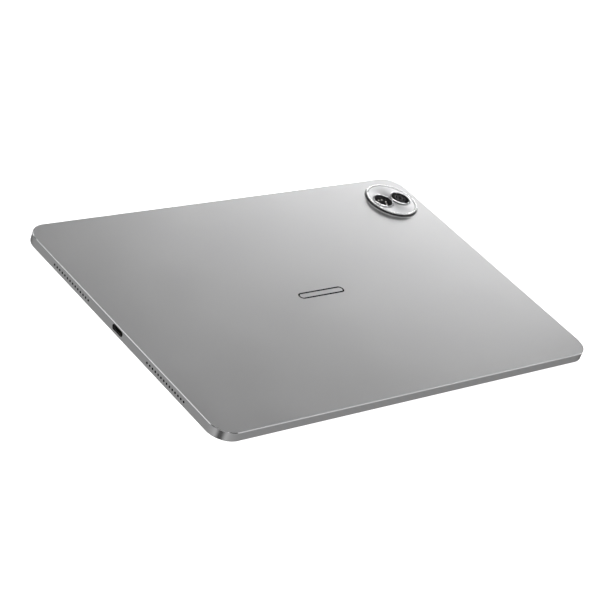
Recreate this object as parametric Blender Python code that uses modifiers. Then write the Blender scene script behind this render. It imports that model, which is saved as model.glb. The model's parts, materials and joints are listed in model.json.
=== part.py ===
"""A slim tablet computer, lying on its screen: rear housing, display, batteries, boards,
speakers, camera island and buttons, each as its own solid.

Frame: metres, +Z up. The origin is the middle of the screen glass's outer face, so the tablet
rests on z = 0. +X runs along the long side towards the camera's end, +Y towards the long side
nearest the camera, and +Z is the way the back faces.
"""
import math

import bmesh
import bpy
from mathutils import Matrix, Vector

MM = 0.001

# ---------------------------------------------------------------- driving dimensions
BODY_LENGTH = 274.6 * MM            # long side of the housing, along X
BODY_WIDTH = 180.6 * MM             # short side, along Y
BODY_THICKNESS = 5.8 * MM           # screen glass to back face
CORNER_RADIUS = 12.0 * MM           # housing corners, seen from the back
EDGE_CHAMFER = 0.4 * MM             # polished chamfer round the back
SIDE_WALL = 1.9 * MM
BACK_WALL = 0.8 * MM
FIT_GAP = 0.3 * MM                  # between neighbours that only meet
BOND_GAP = 0.2 * MM                 # between faces that are soldered or glued

GLASS_RIM = 0.6 * MM                # metal left round the screen glass
GLASS_THICKNESS = 0.6 * MM
GLASS_PROUD = 0.2 * MM              # glass stands this far in front of the rim
GLASS_CHAMFER = 0.1 * MM
SEAL_THICKNESS = 0.2 * MM
SEAL_WIDTH = 1.0 * MM
BEZEL_SIDE = 7.7 * MM               # housing edge to the lit area, short sides
BEZEL_LONG = 9.3 * MM               # and long sides
CELL_BORDER = 1.4 * MM              # display cell past its lit area
CELL_THICKNESS = 0.5 * MM
BACKLIGHT_BORDER = 0.5 * MM
BACKLIGHT_THICKNESS = 0.7 * MM

CAMERA_FROM_SIDE = 22.6 * MM        # island centre to the short side
CAMERA_FROM_TOP = 23.4 * MM         # and to the long side
RING_SEAT_DEPTH = 0.4 * MM          # how far the island is let into the back
RING_FOOT_HEIGHT = 0.55 * MM        # lower step of the ring, above the back
RING_HEIGHT = 2.0 * MM              # top of the ring, above the back
RING_STEP = 0.6 * MM                # the upper wall stands back this far
RING_LIP = 0.6 * MM                 # radius of the rounded top lip
RING_BREAK = 0.15 * MM              # small chamfers on the ring
RING_WALL = 1.7 * MM                # plate pocket to the outside of the foot
RING_LEDGE_WIDTH = 2.1 * MM
RING_LEDGE_HEIGHT = 0.7 * MM        # the plate's ledge, above the back
PLATE_MARGIN = 1.1 * MM             # lens rims to the edge of the plate's pocket
PLATE_THICKNESS = 0.7 * MM
RIM_SPACE = 1.0 * MM                # between the two lens rims, along X
RIM_RADIUS = 6.6 * MM
RIM_WALL = 0.85 * MM
RIM_LEDGE_WIDTH = 0.75 * MM
RIM_LEDGE = 0.3 * MM                # thickness of the ledge under the window
RIM_HEIGHT = 1.05 * MM
RIM_INNER_BREAK = 0.1 * MM
RIM_OUTER_BREAK = 0.2 * MM
WINDOW_THICKNESS = 0.35 * MM
CAMERA_BLOCK = 9.4 * MM             # square camera module
CAMERA_BLOCK_PROUD = 0.3 * MM       # module top above the back face
CAMERA_OPENING_CORNER = 1.5 * MM
CAMERA_FLOOR = 0.9 * MM             # sensor board under the barrel
BARREL_RADIUS = 3.2 * MM
FOCUS_TRAVEL = 0.3 * MM             # how far the barrel rises
FLASH_BOARD_THICKNESS = 0.6 * MM
LED_COUNT = 6
LED_RADIUS = 0.55 * MM
LED_RING_RADIUS = 3.0 * MM
LED_HEIGHT = 0.3 * MM
LED_ROOT = 0.1 * MM                 # part of a lamp that is sunk in its board

HOLES_PER_ROW = 14
HOLE_PITCH = 2.465 * MM
HOLE_RADIUS = 0.6 * MM
HOLE_DROP = 0.05 * MM               # row of holes below mid thickness
SPEAKER_CAMERA_ROOM = 1.3 * MM      # speaker box to the camera module
SPEAKER_END_ROOM = 2.0 * MM         # speaker box past its outermost holes' axes
SPEAKER_DEPTH = 16.0 * MM
SPEAKER_WALL = 1.2 * MM
SPEAKER_FLOOR = 0.3 * MM
DIAPHRAGM_THICKNESS = 0.3 * MM
DIAPHRAGM_CORNER = 2.0 * MM
DIAPHRAGM_TRAVEL = 0.3 * MM         # each way
PORT_WIDTH = 26.0 * MM
PORT_HEIGHT = 0.8 * MM
MESH_THICKNESS = 0.2 * MM
MESH_HEIGHT = 2.0 * MM

USB_MOUTH_MARGIN = 0.03 * MM        # mouth in the housing, round the shell
USB_RAISE = 0.45 * MM               # socket axis above mid thickness
USB_LIP = 0.5 * MM                  # housing skin in front of the shell
USB_SHELL_WIDTH = 8.94 * MM
USB_SHELL_HEIGHT = 3.16 * MM
USB_SHELL_SKIN = 0.3 * MM
USB_SHELL_LENGTH = 6.0 * MM
TONGUE_WIDTH = 6.7 * MM
TONGUE_THICKNESS = 0.7 * MM
TONGUE_LENGTH = 4.5 * MM
USB_BOARD_DEPTH = 16.0 * MM
USB_BOARD_THICKNESS = 0.6 * MM
USB_BOARD_END_ROOM = 1.0 * MM       # between the USB board and a speaker box

BATTERY_SIDE_ROOM = 11.3 * MM       # housing long side to a battery cell
BATTERY_SPLIT = 2.0 * MM
BATTERY_CORNER = 2.0 * MM
CABLE_LANE = 7.6 * MM               # free lane beside the USB board
BATTERY_BOARD_LENGTH = 60.0 * MM
BATTERY_BOARD_WIDTH = 3.0 * MM

BOARD_THICKNESS = 0.5 * MM
BOARD_WIDTH = 28.0 * MM             # main board along X
BOARD_END_ROOM = 14.0 * MM          # its near end to the long side
PART_ROOM = 1.5 * MM                # loose gap between parts laid side by side
SPREADER_THICKNESS = 0.2 * MM
CHIP_THICKNESS = 0.5 * MM
SHIELD_SKIN = 0.2 * MM
SHIELD_WIDTH = 22.0 * MM
PROCESSOR_SHIELD_LENGTH = 44.0 * MM
POWER_SHIELD_LENGTH = 26.0 * MM
SHIELD_END_ROOM = 8.0 * MM
CHIP_END_ROOM = 4.0 * MM            # chips to the ends of the processor's shield
PROCESSOR_SIZE = 16.0 * MM
STORAGE_LENGTH = 13.0 * MM
STORAGE_WIDTH = 11.5 * MM
POWER_CHIP_SIZE = 8.0 * MM
RADIO_SIZE = 14.0 * MM

SCREW_HEAD_RADIUS = 1.3 * MM
SCREW_HEAD_HEIGHT = 0.6 * MM
SCREW_SHANK_RADIUS = 0.6 * MM
BOSS_RADIUS = 1.8 * MM
SCREW_INSET = 3.5 * MM              # screw axis to the board's edges
SCREW_SKIN = 0.4 * MM               # metal left over a blind screw hole

FLEX_WIDTH = 5.0 * MM
FLEX_THICKNESS = 0.2 * MM
DRIVER_BOARD_LENGTH = 120.0 * MM
DRIVER_BOARD_WIDTH = 5.5 * MM
DRIVER_BOARD_THICKNESS = 0.5 * MM

BUTTON_HEIGHT = 2.0 * MM
BUTTON_PROUD = 0.35 * MM
BUTTON_FLANGE = 0.6 * MM            # flange thickness behind the wall
FLANGE_OVERLAP = 0.8 * MM           # flange past its slot's ends
FLANGE_SIDE_OVERLAP = 0.6 * MM      # and past its slot's long sides
FLANGE_CORNER = 0.5 * MM
POWER_LENGTH = 12.0 * MM
POWER_FROM_TOP = 20.3 * MM          # middle of the power button to the long side
POWER_TRAVEL = 0.3 * MM
ROCKER_LENGTH = 22.0 * MM
ROCKER_FROM_SIDE = 41.0 * MM        # middle of the rocker to the short side
ROCKER_END_TRAVEL = 0.25 * MM
SWITCH_DEPTH = 1.2 * MM
SWITCH_LENGTH = 6.0 * MM
SWITCH_HEIGHT = 2.0 * MM
DOME_RADIUS = 0.8 * MM
DOME_HEIGHT = 0.15 * MM
DOME_OFFSET = 8.0 * MM              # each volume dome to the middle of the rocker

FRONT_CAMERA_SIZE = 4.4 * MM
FRONT_CAMERA_HEIGHT = 2.6 * MM
FRONT_CAMERA_FROM_TOP = 5.0 * MM
SENSOR_OFFSET = 8.0 * MM
SENSOR_LENGTH = 2.5 * MM
SENSOR_WIDTH = 2.0 * MM
SENSOR_HEIGHT = 0.8 * MM
MICROPHONE_OFFSET = 20.0 * MM
MICROPHONE_LENGTH = 3.5 * MM
MICROPHONE_DEPTH = 2.6 * MM
MICROPHONE_HEIGHT = 1.0 * MM
MICROPHONE_HOLE_RADIUS = 0.4 * MM
EDGE_PART_DEPTH = 5.0 * MM          # antennas and pen coil, across Y
PEN_COIL_START = 6.0 * MM
PEN_COIL_LENGTH = 30.0 * MM
PEN_COIL_HEIGHT = 1.6 * MM
ANTENNA_THICKNESS = 0.4 * MM
ANTENNA_LEFT_LENGTH = 40.0 * MM
ANTENNA_RIGHT_LENGTH = 18.0 * MM
ANTENNA_END_ROOM = 16.0 * MM

CORNER_STEPS = 12                   # straight segments in a housing corner
SLOT_STEPS = 6                      # and in each quarter of a slot's round end
ROUND_STEPS = 48                    # sides of the camera island's pieces
LENS_STEPS = 32                     # sides of a lens rim, window or barrel
SMALL_STEPS = 12                    # sides of a hole or a screw
CUT_PAST = 1.0 * MM                 # how far a cutter runs past the face it opens
ROUND_END = 0.4995                  # corner radius of a round-ended bar, per unit of height

# ---------------------------------------------------------------- levels and places
HALF_LENGTH = BODY_LENGTH / 2
HALF_WIDTH = BODY_WIDTH / 2
MID_HEIGHT = BODY_THICKNESS / 2

CAVITY_TOP = BODY_THICKNESS - BACK_WALL
SEAL_LOW = GLASS_THICKNESS + FIT_GAP
SHELF_LEVEL = SEAL_LOW + SEAL_THICKNESS + FIT_GAP
CELL_LOW = GLASS_THICKNESS + FIT_GAP
BACKLIGHT_LOW = CELL_LOW + CELL_THICKNESS + FIT_GAP
INSIDE_LOW = BACKLIGHT_LOW + BACKLIGHT_THICKNESS + FIT_GAP
INSIDE_HIGH = CAVITY_TOP - FIT_GAP

CAVITY_X = HALF_LENGTH - SIDE_WALL
CAVITY_Y = HALF_WIDTH - SIDE_WALL
LIT_LENGTH = BODY_LENGTH - 2 * BEZEL_SIDE
LIT_WIDTH = BODY_WIDTH - 2 * BEZEL_LONG

SPREADER_HIGH = CAVITY_TOP - FIT_GAP
BOARD_HIGH = SPREADER_HIGH - SPREADER_THICKNESS - BOND_GAP
BOARD_LOW = BOARD_HIGH - BOARD_THICKNESS
CHIP_HIGH = BOARD_LOW - BOND_GAP
CHIP_LOW = CHIP_HIGH - CHIP_THICKNESS

LENS_SPACING = 2 * RIM_RADIUS + RIM_SPACE
PLATE_POCKET = LENS_SPACING / 2 + RIM_RADIUS + FIT_GAP + PLATE_MARGIN
RING_RADIUS = PLATE_POCKET + RING_WALL
CAMERA_X = HALF_LENGTH - CAMERA_FROM_SIDE
CAMERA_Y = HALF_WIDTH - CAMERA_FROM_TOP
MAIN_LENS_X = CAMERA_X + LENS_SPACING / 2
FLASH_LENS_X = CAMERA_X - LENS_SPACING / 2
PLATE_LOW = BODY_THICKNESS + RING_LEDGE_HEIGHT + FIT_GAP
WINDOW_LOW = PLATE_LOW + RIM_LEDGE + FIT_GAP

ROW_LENGTH = (HOLES_PER_ROW - 1) * HOLE_PITCH
SPEAKER_LENGTH = ROW_LENGTH + 2 * SPEAKER_END_ROOM
SPEAKER_Y = CAMERA_Y - CAMERA_BLOCK / 2 - SPEAKER_CAMERA_ROOM - SPEAKER_LENGTH / 2
MESH_OUTER_X = CAVITY_X - FIT_GAP
SPEAKER_OUTER_X = MESH_OUTER_X - MESH_THICKNESS - FIT_GAP
SPEAKER_INNER_X = SPEAKER_OUTER_X - SPEAKER_DEPTH

USB_Z = MID_HEIGHT + USB_RAISE
USB_SHELL_X = -HALF_LENGTH + USB_LIP + FIT_GAP
USB_BOARD_LEFT = -SPEAKER_OUTER_X
USB_BOARD_RIGHT = USB_BOARD_LEFT + USB_BOARD_DEPTH
USB_BOARD_HALF = SPEAKER_Y - SPEAKER_LENGTH / 2 - USB_BOARD_END_ROOM
USB_NOTCH_HALF = USB_SHELL_WIDTH / 2 + FIT_GAP

BOARD_RIGHT = SPEAKER_INNER_X - PART_ROOM
BOARD_LEFT = BOARD_RIGHT - BOARD_WIDTH
BOARD_FAR = CAMERA_Y - CAMERA_BLOCK / 2 - PART_ROOM
BOARD_NEAR = -(HALF_WIDTH - BOARD_END_ROOM)
BOARD_MID_X = (BOARD_LEFT + BOARD_RIGHT) / 2

BATTERY_LEFT = -SPEAKER_INNER_X + CABLE_LANE
BATTERY_RIGHT = BOARD_LEFT - PART_ROOM
BATTERY_HALF_WIDTH = HALF_WIDTH - BATTERY_SIDE_ROOM
BATTERY_LENGTH = (BATTERY_RIGHT - BATTERY_LEFT - BATTERY_SPLIT) / 2

POWER_Y = HALF_WIDTH - POWER_FROM_TOP
ROCKER_X = HALF_LENGTH - ROCKER_FROM_SIDE
EDGE_PART_FAR = CAVITY_Y - FIT_GAP


# ---------------------------------------------------------------- scene and materials
for old_object in list(bpy.data.objects):
    bpy.data.objects.remove(old_object, do_unlink=True)

parts = bpy.data.collections.new("tablet_computer")
cutters = bpy.data.collections.new("cutters")
bpy.context.scene.collection.children.link(parts)
bpy.context.scene.collection.children.link(cutters)

tablet = bpy.data.objects.new("tablet_frame", None)
parts.objects.link(tablet)


def finish(name, colour, roughness, metallic=0.0):
    """A Principled material with one colour, roughness and metallic value."""
    material = bpy.data.materials.new(name)
    material.use_nodes = True
    shader = material.node_tree.nodes["Principled BSDF"]
    shader.inputs["Base Color"].default_value = (*colour, 1.0)
    shader.inputs["Roughness"].default_value = roughness
    shader.inputs["Metallic"].default_value = metallic
    return material


ALUMINIUM = finish("bead_blasted_aluminium", (0.47, 0.48, 0.49), 0.42, 0.9)
POLISHED = finish("polished_metal", (0.80, 0.80, 0.81), 0.12, 1.0)
BRUSHED = finish("brushed_metal", (0.66, 0.66, 0.67), 0.28, 1.0)
SCREEN = finish("screen_glass", (0.012, 0.012, 0.014), 0.06)
LENS_GLASS = finish("lens_glass", (0.010, 0.010, 0.013), 0.04)
BLACK_PLASTIC = finish("black_plastic", (0.02, 0.02, 0.022), 0.5)
RUBBER = finish("seal_rubber", (0.015, 0.015, 0.015), 0.8)
DISPLAY = finish("display_film", (0.04, 0.05, 0.06), 0.25)
REFLECTOR = finish("white_reflector", (0.75, 0.75, 0.72), 0.5)
CIRCUIT = finish("circuit_board", (0.02, 0.10, 0.07), 0.45)
CHIP = finish("chip_epoxy", (0.03, 0.03, 0.03), 0.55)
TIN = finish("tinned_steel", (0.60, 0.60, 0.58), 0.35, 1.0)
FOIL = finish("battery_pouch", (0.12, 0.12, 0.13), 0.4, 0.3)
FLEX = finish("flex_film", (0.30, 0.14, 0.03), 0.4)
GRAPHITE = finish("graphite_sheet", (0.06, 0.06, 0.065), 0.5, 0.2)
STEEL = finish("steel", (0.52, 0.52, 0.53), 0.3, 1.0)
COPPER = finish("copper", (0.72, 0.36, 0.20), 0.3, 1.0)


# ---------------------------------------------------------------- ways of making a solid
def add_piece(name, mesh, material, origin=(0.0, 0.0, 0.0)):
    """Put a mesh that was made in place into the tablet, with its origin at a given point."""
    mesh.transform(Matrix.Translation(-Vector(origin)))
    mesh.materials.clear()
    mesh.materials.append(material)
    piece = bpy.data.objects.new(name, mesh)
    piece.location = origin
    piece.parent = tablet
    parts.objects.link(piece)
    return piece


def add_cutter(name, mesh):
    cutter = bpy.data.objects.new(name, mesh)
    cutter.hide_render = True
    cutter.display_type = "WIRE"
    cutters.objects.link(cutter)
    return cutter


def combine(piece, mesh, operation):
    """Cut a mesh from a piece, or join it to the piece."""
    cutter = add_cutter(f"{piece.name}_tool_{len(piece.modifiers) + 1}", mesh)
    boolean = piece.modifiers.new("combine", "BOOLEAN")
    boolean.operation = operation
    boolean.solver = "EXACT"
    boolean.object = cutter


def cut(piece, mesh):
    combine(piece, mesh, "DIFFERENCE")


def join(piece, mesh):
    combine(piece, mesh, "UNION")


def box(low, high):
    """A block between two opposite corners."""
    shape = bmesh.new()
    bmesh.ops.create_cube(shape, size=1.0)
    size = Vector(high) - Vector(low)
    middle = (Vector(high) + Vector(low)) / 2
    bmesh.ops.scale(shape, vec=size, verts=shape.verts)
    bmesh.ops.translate(shape, vec=middle, verts=shape.verts)
    return to_mesh(shape)


def to_mesh(shape):
    bmesh.ops.recalc_face_normals(shape, faces=shape.faces)
    mesh = bpy.data.meshes.new("solid")
    shape.to_mesh(mesh)
    shape.free()
    return mesh


def round_bar(centre, radius, low, high, axis="Z", sides=SMALL_STEPS):
    """A round bar along an axis; centre holds its two other coordinates."""
    shape = bmesh.new()
    add_round_bar(shape, centre, radius, low, high, axis, sides)
    return to_mesh(shape)


def add_round_bar(shape, centre, radius, low, high, axis, sides):
    made = bmesh.ops.create_cone(
        shape, cap_ends=True, segments=sides, radius1=radius, radius2=radius, depth=high - low)
    bmesh.ops.translate(shape, vec=(*centre, (low + high) / 2), verts=made["verts"])
    bmesh.ops.transform(shape, matrix=axis_frame(axis), verts=made["verts"])


def axis_frame(axis):
    """Turns a shape drawn flat and raised along Z so that it is raised along another axis."""
    if axis == "X":
        return Matrix(((0, 0, 1, 0), (1, 0, 0, 0), (0, 1, 0, 0), (0, 0, 0, 1)))
    if axis == "Y":
        return Matrix(((1, 0, 0, 0), (0, 0, 1, 0), (0, 1, 0, 0), (0, 0, 0, 1)))
    return Matrix.Identity(4)


def rounded_outline(centre, length, width, radius, steps=4):
    """Corner-rounded rectangle as points, anticlockwise."""
    reach = Vector((length / 2 - radius, width / 2 - radius))
    points = []
    for quarter, (side_x, side_y) in enumerate(((1, 1), (-1, 1), (-1, -1), (1, -1))):
        for step in range(steps + 1):
            angle = math.radians(90) * (quarter + step / steps)
            points.append((centre[0] + side_x * reach.x + radius * math.cos(angle),
                           centre[1] + side_y * reach.y + radius * math.sin(angle)))
    return points


def plate(points, low, high, axis="Z"):
    """A flat outline raised from low to high along an axis."""
    curve = bpy.data.curves.new("outline", "CURVE")
    curve.dimensions = "2D"
    curve.fill_mode = "BOTH"
    curve.extrude = (high - low) / 2
    spline = curve.splines.new("POLY")
    spline.points.add(len(points) - 1)
    for point, (across, along) in zip(spline.points, points):
        point.co = (across, along, 0.0, 1.0)
    spline.use_cyclic_u = True
    holder = bpy.data.objects.new("outline", curve)
    bpy.context.scene.collection.objects.link(holder)
    bpy.context.view_layer.update()
    evaluated = holder.evaluated_get(bpy.context.evaluated_depsgraph_get())
    mesh = bpy.data.meshes.new_from_object(evaluated)
    bpy.data.objects.remove(holder, do_unlink=True)
    shape = bmesh.new()
    shape.from_mesh(mesh)
    bpy.data.meshes.remove(mesh)
    bmesh.ops.remove_doubles(shape, verts=shape.verts, dist=0.001 * MM)
    bmesh.ops.translate(shape, vec=(0.0, 0.0, (low + high) / 2), verts=shape.verts)
    bmesh.ops.transform(shape, matrix=axis_frame(axis), verts=shape.verts)
    return to_mesh(shape)


def rounded_plate(centre, length, width, radius, low, high, steps=4, axis="Z"):
    return plate(rounded_outline(centre, length, width, radius, steps), low, high, axis)


def chamfer(piece, width):
    """Flat chamfer on the sharp edges of a plate; its round corners stay as they are."""
    bevel = piece.modifiers.new("chamfer", "BEVEL")
    bevel.width = width
    bevel.segments = 1
    bevel.limit_method = "ANGLE"
    bevel.angle_limit = math.radians(60)


def turned_piece(name, profile, centre, material, steps=ROUND_STEPS):
    """A piece turned from a closed profile of (radius, height) points about an upright axis."""
    mesh = bpy.data.meshes.new(name)
    corners = [(radius, 0.0, height) for radius, height in profile]
    edges = [(index, (index + 1) % len(corners)) for index in range(len(corners))]
    mesh.from_pydata(corners, edges, [])
    piece = add_piece(name, mesh, material)
    piece.location = (*centre, 0.0)
    screw = piece.modifiers.new("turning", "SCREW")
    screw.axis = "Z"
    screw.angle = math.tau
    screw.steps = steps
    screw.render_steps = steps
    screw.use_merge_vertices = True
    screw.merge_threshold = 0.00001
    screw.use_smooth_shade = True
    return piece


def block(name, low, high, material):
    """A plain block as a piece, with its origin in its middle."""
    return add_piece(name, box(low, high), material, (Vector(low) + Vector(high)) / 2)


def lane(points, width):
    """Outline of a strip of one width along a path of straight, square runs."""
    left_side = []
    right_side = []
    for index, point in enumerate(points):
        here = Vector(point)
        before = Vector(points[max(index - 1, 0)])
        after = Vector(points[min(index + 1, len(points) - 1)])
        arriving = (here - before).normalized() if index > 0 else (after - here).normalized()
        leaving = (after - here).normalized() if index < len(points) - 1 else arriving
        arriving_left = Vector((-arriving.y, arriving.x))
        leaving_left = Vector((-leaving.y, leaving.x))
        offset = arriving_left if (leaving - arriving).length < 0.1 else arriving_left + leaving_left
        left_side.append(tuple(here + offset * width / 2))
        right_side.append(tuple(here - offset * width / 2))
    return left_side + right_side[::-1]


# ---------------------------------------------------------------- rear housing
def screw_places():
    """Screw axes of the main board and of the USB board."""
    main = []
    for across in (BOARD_LEFT + SCREW_INSET, BOARD_RIGHT - SCREW_INSET):
        for along in (BOARD_NEAR + SCREW_INSET, BOARD_FAR - SCREW_INSET):
            main.append((across, along))
    usb_y = (USB_NOTCH_HALF + USB_BOARD_HALF) / 2
    usb_x = USB_BOARD_LEFT + BOSS_RADIUS + BOND_GAP
    return main, [(usb_x, -usb_y), (usb_x, usb_y)]


def make_rear_housing():
    front = GLASS_PROUD
    body = rounded_plate((0, 0), BODY_LENGTH, BODY_WIDTH, CORNER_RADIUS,
                         front, BODY_THICKNESS, CORNER_STEPS)
    housing = add_piece("rear_housing", body, ALUMINIUM)
    chamfer(housing, EDGE_CHAMFER)
    below = front - CUT_PAST
    cut(housing, rounded_plate(
        (0, 0), BODY_LENGTH - 2 * GLASS_RIM, BODY_WIDTH - 2 * GLASS_RIM,
        CORNER_RADIUS - GLASS_RIM, below, SHELF_LEVEL, CORNER_STEPS))
    cut(housing, rounded_plate(
        (0, 0), 2 * CAVITY_X, 2 * CAVITY_Y, CORNER_RADIUS - SIDE_WALL,
        below, CAVITY_TOP, CORNER_STEPS))
    cut_speaker_holes(housing)
    cut_usb_mouth(housing)
    cut_button_slots(housing)
    cut_camera_seat(housing)
    add_screw_bosses(housing)
    cut(housing, round_bar((-MICROPHONE_OFFSET, MID_HEIGHT), MICROPHONE_HOLE_RADIUS,
                           CAVITY_Y - CUT_PAST, HALF_WIDTH + CUT_PAST, "Y"))


def hole_offsets():
    return [index * HOLE_PITCH - ROW_LENGTH / 2 for index in range(HOLES_PER_ROW)]


def cut_speaker_holes(housing):
    shape = bmesh.new()
    for side_x in (-1, 1):
        ends = sorted((side_x * (CAVITY_X - CUT_PAST), side_x * (HALF_LENGTH + CUT_PAST)))
        for side_y in (-1, 1):
            for offset in hole_offsets():
                add_round_bar(shape, (side_y * SPEAKER_Y + offset, MID_HEIGHT - HOLE_DROP),
                              HOLE_RADIUS, ends[0], ends[1], "X", SMALL_STEPS)
    cut(housing, to_mesh(shape))


def cut_usb_mouth(housing):
    """The visible mouth is a thin skin; behind it a pocket holds the receptacle's shell."""
    mouth_width = USB_SHELL_WIDTH + 2 * USB_MOUTH_MARGIN
    mouth_height = USB_SHELL_HEIGHT + 2 * USB_MOUTH_MARGIN
    cut(housing, rounded_plate(
        (0, USB_Z), mouth_width, mouth_height, mouth_height * ROUND_END,
        -HALF_LENGTH - CUT_PAST, -CAVITY_X + CUT_PAST, SLOT_STEPS, "X"))
    pocket_height = USB_SHELL_HEIGHT + 2 * BOND_GAP
    cut(housing, rounded_plate(
        (0, USB_Z), USB_SHELL_WIDTH + 2 * BOND_GAP, pocket_height, pocket_height * ROUND_END,
        -HALF_LENGTH + USB_LIP, USB_SHELL_X + USB_SHELL_LENGTH + FIT_GAP, SLOT_STEPS, "X"))


def cut_button_slots(housing):
    slot_height = BUTTON_HEIGHT + 2 * FIT_GAP
    round_end = slot_height * ROUND_END
    cut(housing, rounded_plate(
        (POWER_Y, MID_HEIGHT), POWER_LENGTH + 2 * FIT_GAP, slot_height, round_end,
        CAVITY_X - CUT_PAST, HALF_LENGTH + CUT_PAST, SLOT_STEPS, "X"))
    cut(housing, rounded_plate(
        (ROCKER_X, MID_HEIGHT), ROCKER_LENGTH + 2 * FIT_GAP, slot_height, round_end,
        CAVITY_Y - CUT_PAST, HALF_WIDTH + CUT_PAST, SLOT_STEPS, "Y"))


def cut_camera_seat(housing):
    seat_level = BODY_THICKNESS - RING_SEAT_DEPTH
    cut(housing, round_bar((CAMERA_X, CAMERA_Y), RING_RADIUS + FIT_GAP,
                           seat_level, BODY_THICKNESS + CUT_PAST, "Z", ROUND_STEPS))
    cut(housing, rounded_plate(
        (CAMERA_X, CAMERA_Y), LENS_SPACING + CAMERA_BLOCK + 2 * PART_ROOM,
        CAMERA_BLOCK + 2 * FIT_GAP, CAMERA_OPENING_CORNER,
        CAVITY_TOP - CUT_PAST, BODY_THICKNESS + CUT_PAST))


def add_screw_bosses(housing):
    main, usb = screw_places()
    usb_boss_low = USB_Z + USB_BOARD_THICKNESS / 2 + FIT_GAP
    for centres, boss_low in ((main, BOARD_HIGH + BOND_GAP), (usb, usb_boss_low)):
        bosses = bmesh.new()
        holes = bmesh.new()
        for centre in centres:
            add_round_bar(bosses, centre, BOSS_RADIUS, boss_low,
                          CAVITY_TOP + BACK_WALL / 2, "Z", SMALL_STEPS)
            add_round_bar(holes, centre, SCREW_SHANK_RADIUS + FIT_GAP, boss_low - CUT_PAST,
                          BODY_THICKNESS - SCREW_SKIN, "Z", SMALL_STEPS)
        join(housing, to_mesh(bosses))
        cut(housing, to_mesh(holes))


# ---------------------------------------------------------------- screen and display
def make_display():
    glass_edge = 2 * (GLASS_RIM + FIT_GAP)
    glass = add_piece("screen_glass", rounded_plate(
        (0, 0), BODY_LENGTH - glass_edge, BODY_WIDTH - glass_edge,
        CORNER_RADIUS - glass_edge / 2, 0.0, GLASS_THICKNESS, CORNER_STEPS), SCREEN)
    chamfer(glass, GLASS_CHAMFER)

    seal = add_piece("screen_seal", rounded_plate(
        (0, 0), BODY_LENGTH - glass_edge, BODY_WIDTH - glass_edge,
        CORNER_RADIUS - glass_edge / 2, SEAL_LOW, SEAL_LOW + SEAL_THICKNESS,
        CORNER_STEPS), RUBBER, (0, 0, SEAL_LOW))
    inner_edge = glass_edge + 2 * SEAL_WIDTH
    cut(seal, rounded_plate(
        (0, 0), BODY_LENGTH - inner_edge, BODY_WIDTH - inner_edge,
        CORNER_RADIUS - inner_edge / 2, SEAL_LOW - CUT_PAST,
        SEAL_LOW + SEAL_THICKNESS + CUT_PAST, CORNER_STEPS))

    block("display_cell",
          (-LIT_LENGTH / 2 - CELL_BORDER, -LIT_WIDTH / 2 - CELL_BORDER, CELL_LOW),
          (LIT_LENGTH / 2 + CELL_BORDER, LIT_WIDTH / 2 + CELL_BORDER, CELL_LOW + CELL_THICKNESS),
          DISPLAY)
    block("display_backlight",
          (-LIT_LENGTH / 2 - BACKLIGHT_BORDER, -LIT_WIDTH / 2 - BACKLIGHT_BORDER, BACKLIGHT_LOW),
          (LIT_LENGTH / 2 + BACKLIGHT_BORDER, LIT_WIDTH / 2 + BACKLIGHT_BORDER,
           BACKLIGHT_LOW + BACKLIGHT_THICKNESS),
          REFLECTOR)

    driver_far = -BATTERY_HALF_WIDTH - FIT_GAP - BOND_GAP
    block("display_driver_board",
          (-DRIVER_BOARD_LENGTH / 2, driver_far - DRIVER_BOARD_WIDTH, INSIDE_LOW),
          (DRIVER_BOARD_LENGTH / 2, driver_far, INSIDE_LOW + DRIVER_BOARD_THICKNESS),
          CIRCUIT)
    flex_y = driver_far - DRIVER_BOARD_WIDTH / 2
    flex_x = BOARD_LEFT + FLEX_WIDTH + SCREW_INSET * 2
    flex_low = INSIDE_LOW + (DRIVER_BOARD_THICKNESS - FLEX_THICKNESS) / 2
    path = [(DRIVER_BOARD_LENGTH / 2 + FIT_GAP, flex_y), (flex_x, flex_y),
            (flex_x, BOARD_NEAR + 2 * SCREW_INSET)]
    add_piece("display_flex", plate(lane(path, FLEX_WIDTH), flex_low, flex_low + FLEX_THICKNESS),
              FLEX, (flex_x, flex_y, flex_low))


# ---------------------------------------------------------------- batteries
def make_batteries():
    for name, left in (("battery_left", BATTERY_LEFT),
                       ("battery_right", BATTERY_LEFT + BATTERY_LENGTH + BATTERY_SPLIT)):
        middle = (left + BATTERY_LENGTH / 2, 0.0, (INSIDE_LOW + INSIDE_HIGH) / 2)
        add_piece(name, rounded_plate(middle, BATTERY_LENGTH, 2 * BATTERY_HALF_WIDTH,
                                      BATTERY_CORNER, INSIDE_LOW, INSIDE_HIGH), FOIL, middle)
    near = BATTERY_HALF_WIDTH + FIT_GAP
    block("battery_board",
          (-BATTERY_BOARD_LENGTH / 2, near, BOARD_LOW),
          (BATTERY_BOARD_LENGTH / 2, near + BATTERY_BOARD_WIDTH, BOARD_HIGH),
          CIRCUIT)


# ---------------------------------------------------------------- main board
def open_can(name, left, near, width, length, material):
    """A pressed shield: a thin roof with four walls, open towards the board."""
    low = CHIP_LOW - BOND_GAP - SHIELD_SKIN
    can = block(name, (left, near, low), (left + width, near + length, CHIP_HIGH), material)
    cut(can, box((left + SHIELD_SKIN, near + SHIELD_SKIN, low + SHIELD_SKIN),
                 (left + width - SHIELD_SKIN, near + length - SHIELD_SKIN, CHIP_HIGH + CUT_PAST)))


def chip(name, centre, width, length, material=CHIP):
    block(name, (centre[0] - width / 2, centre[1] - length / 2, CHIP_LOW),
          (centre[0] + width / 2, centre[1] + length / 2, CHIP_HIGH), material)


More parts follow.
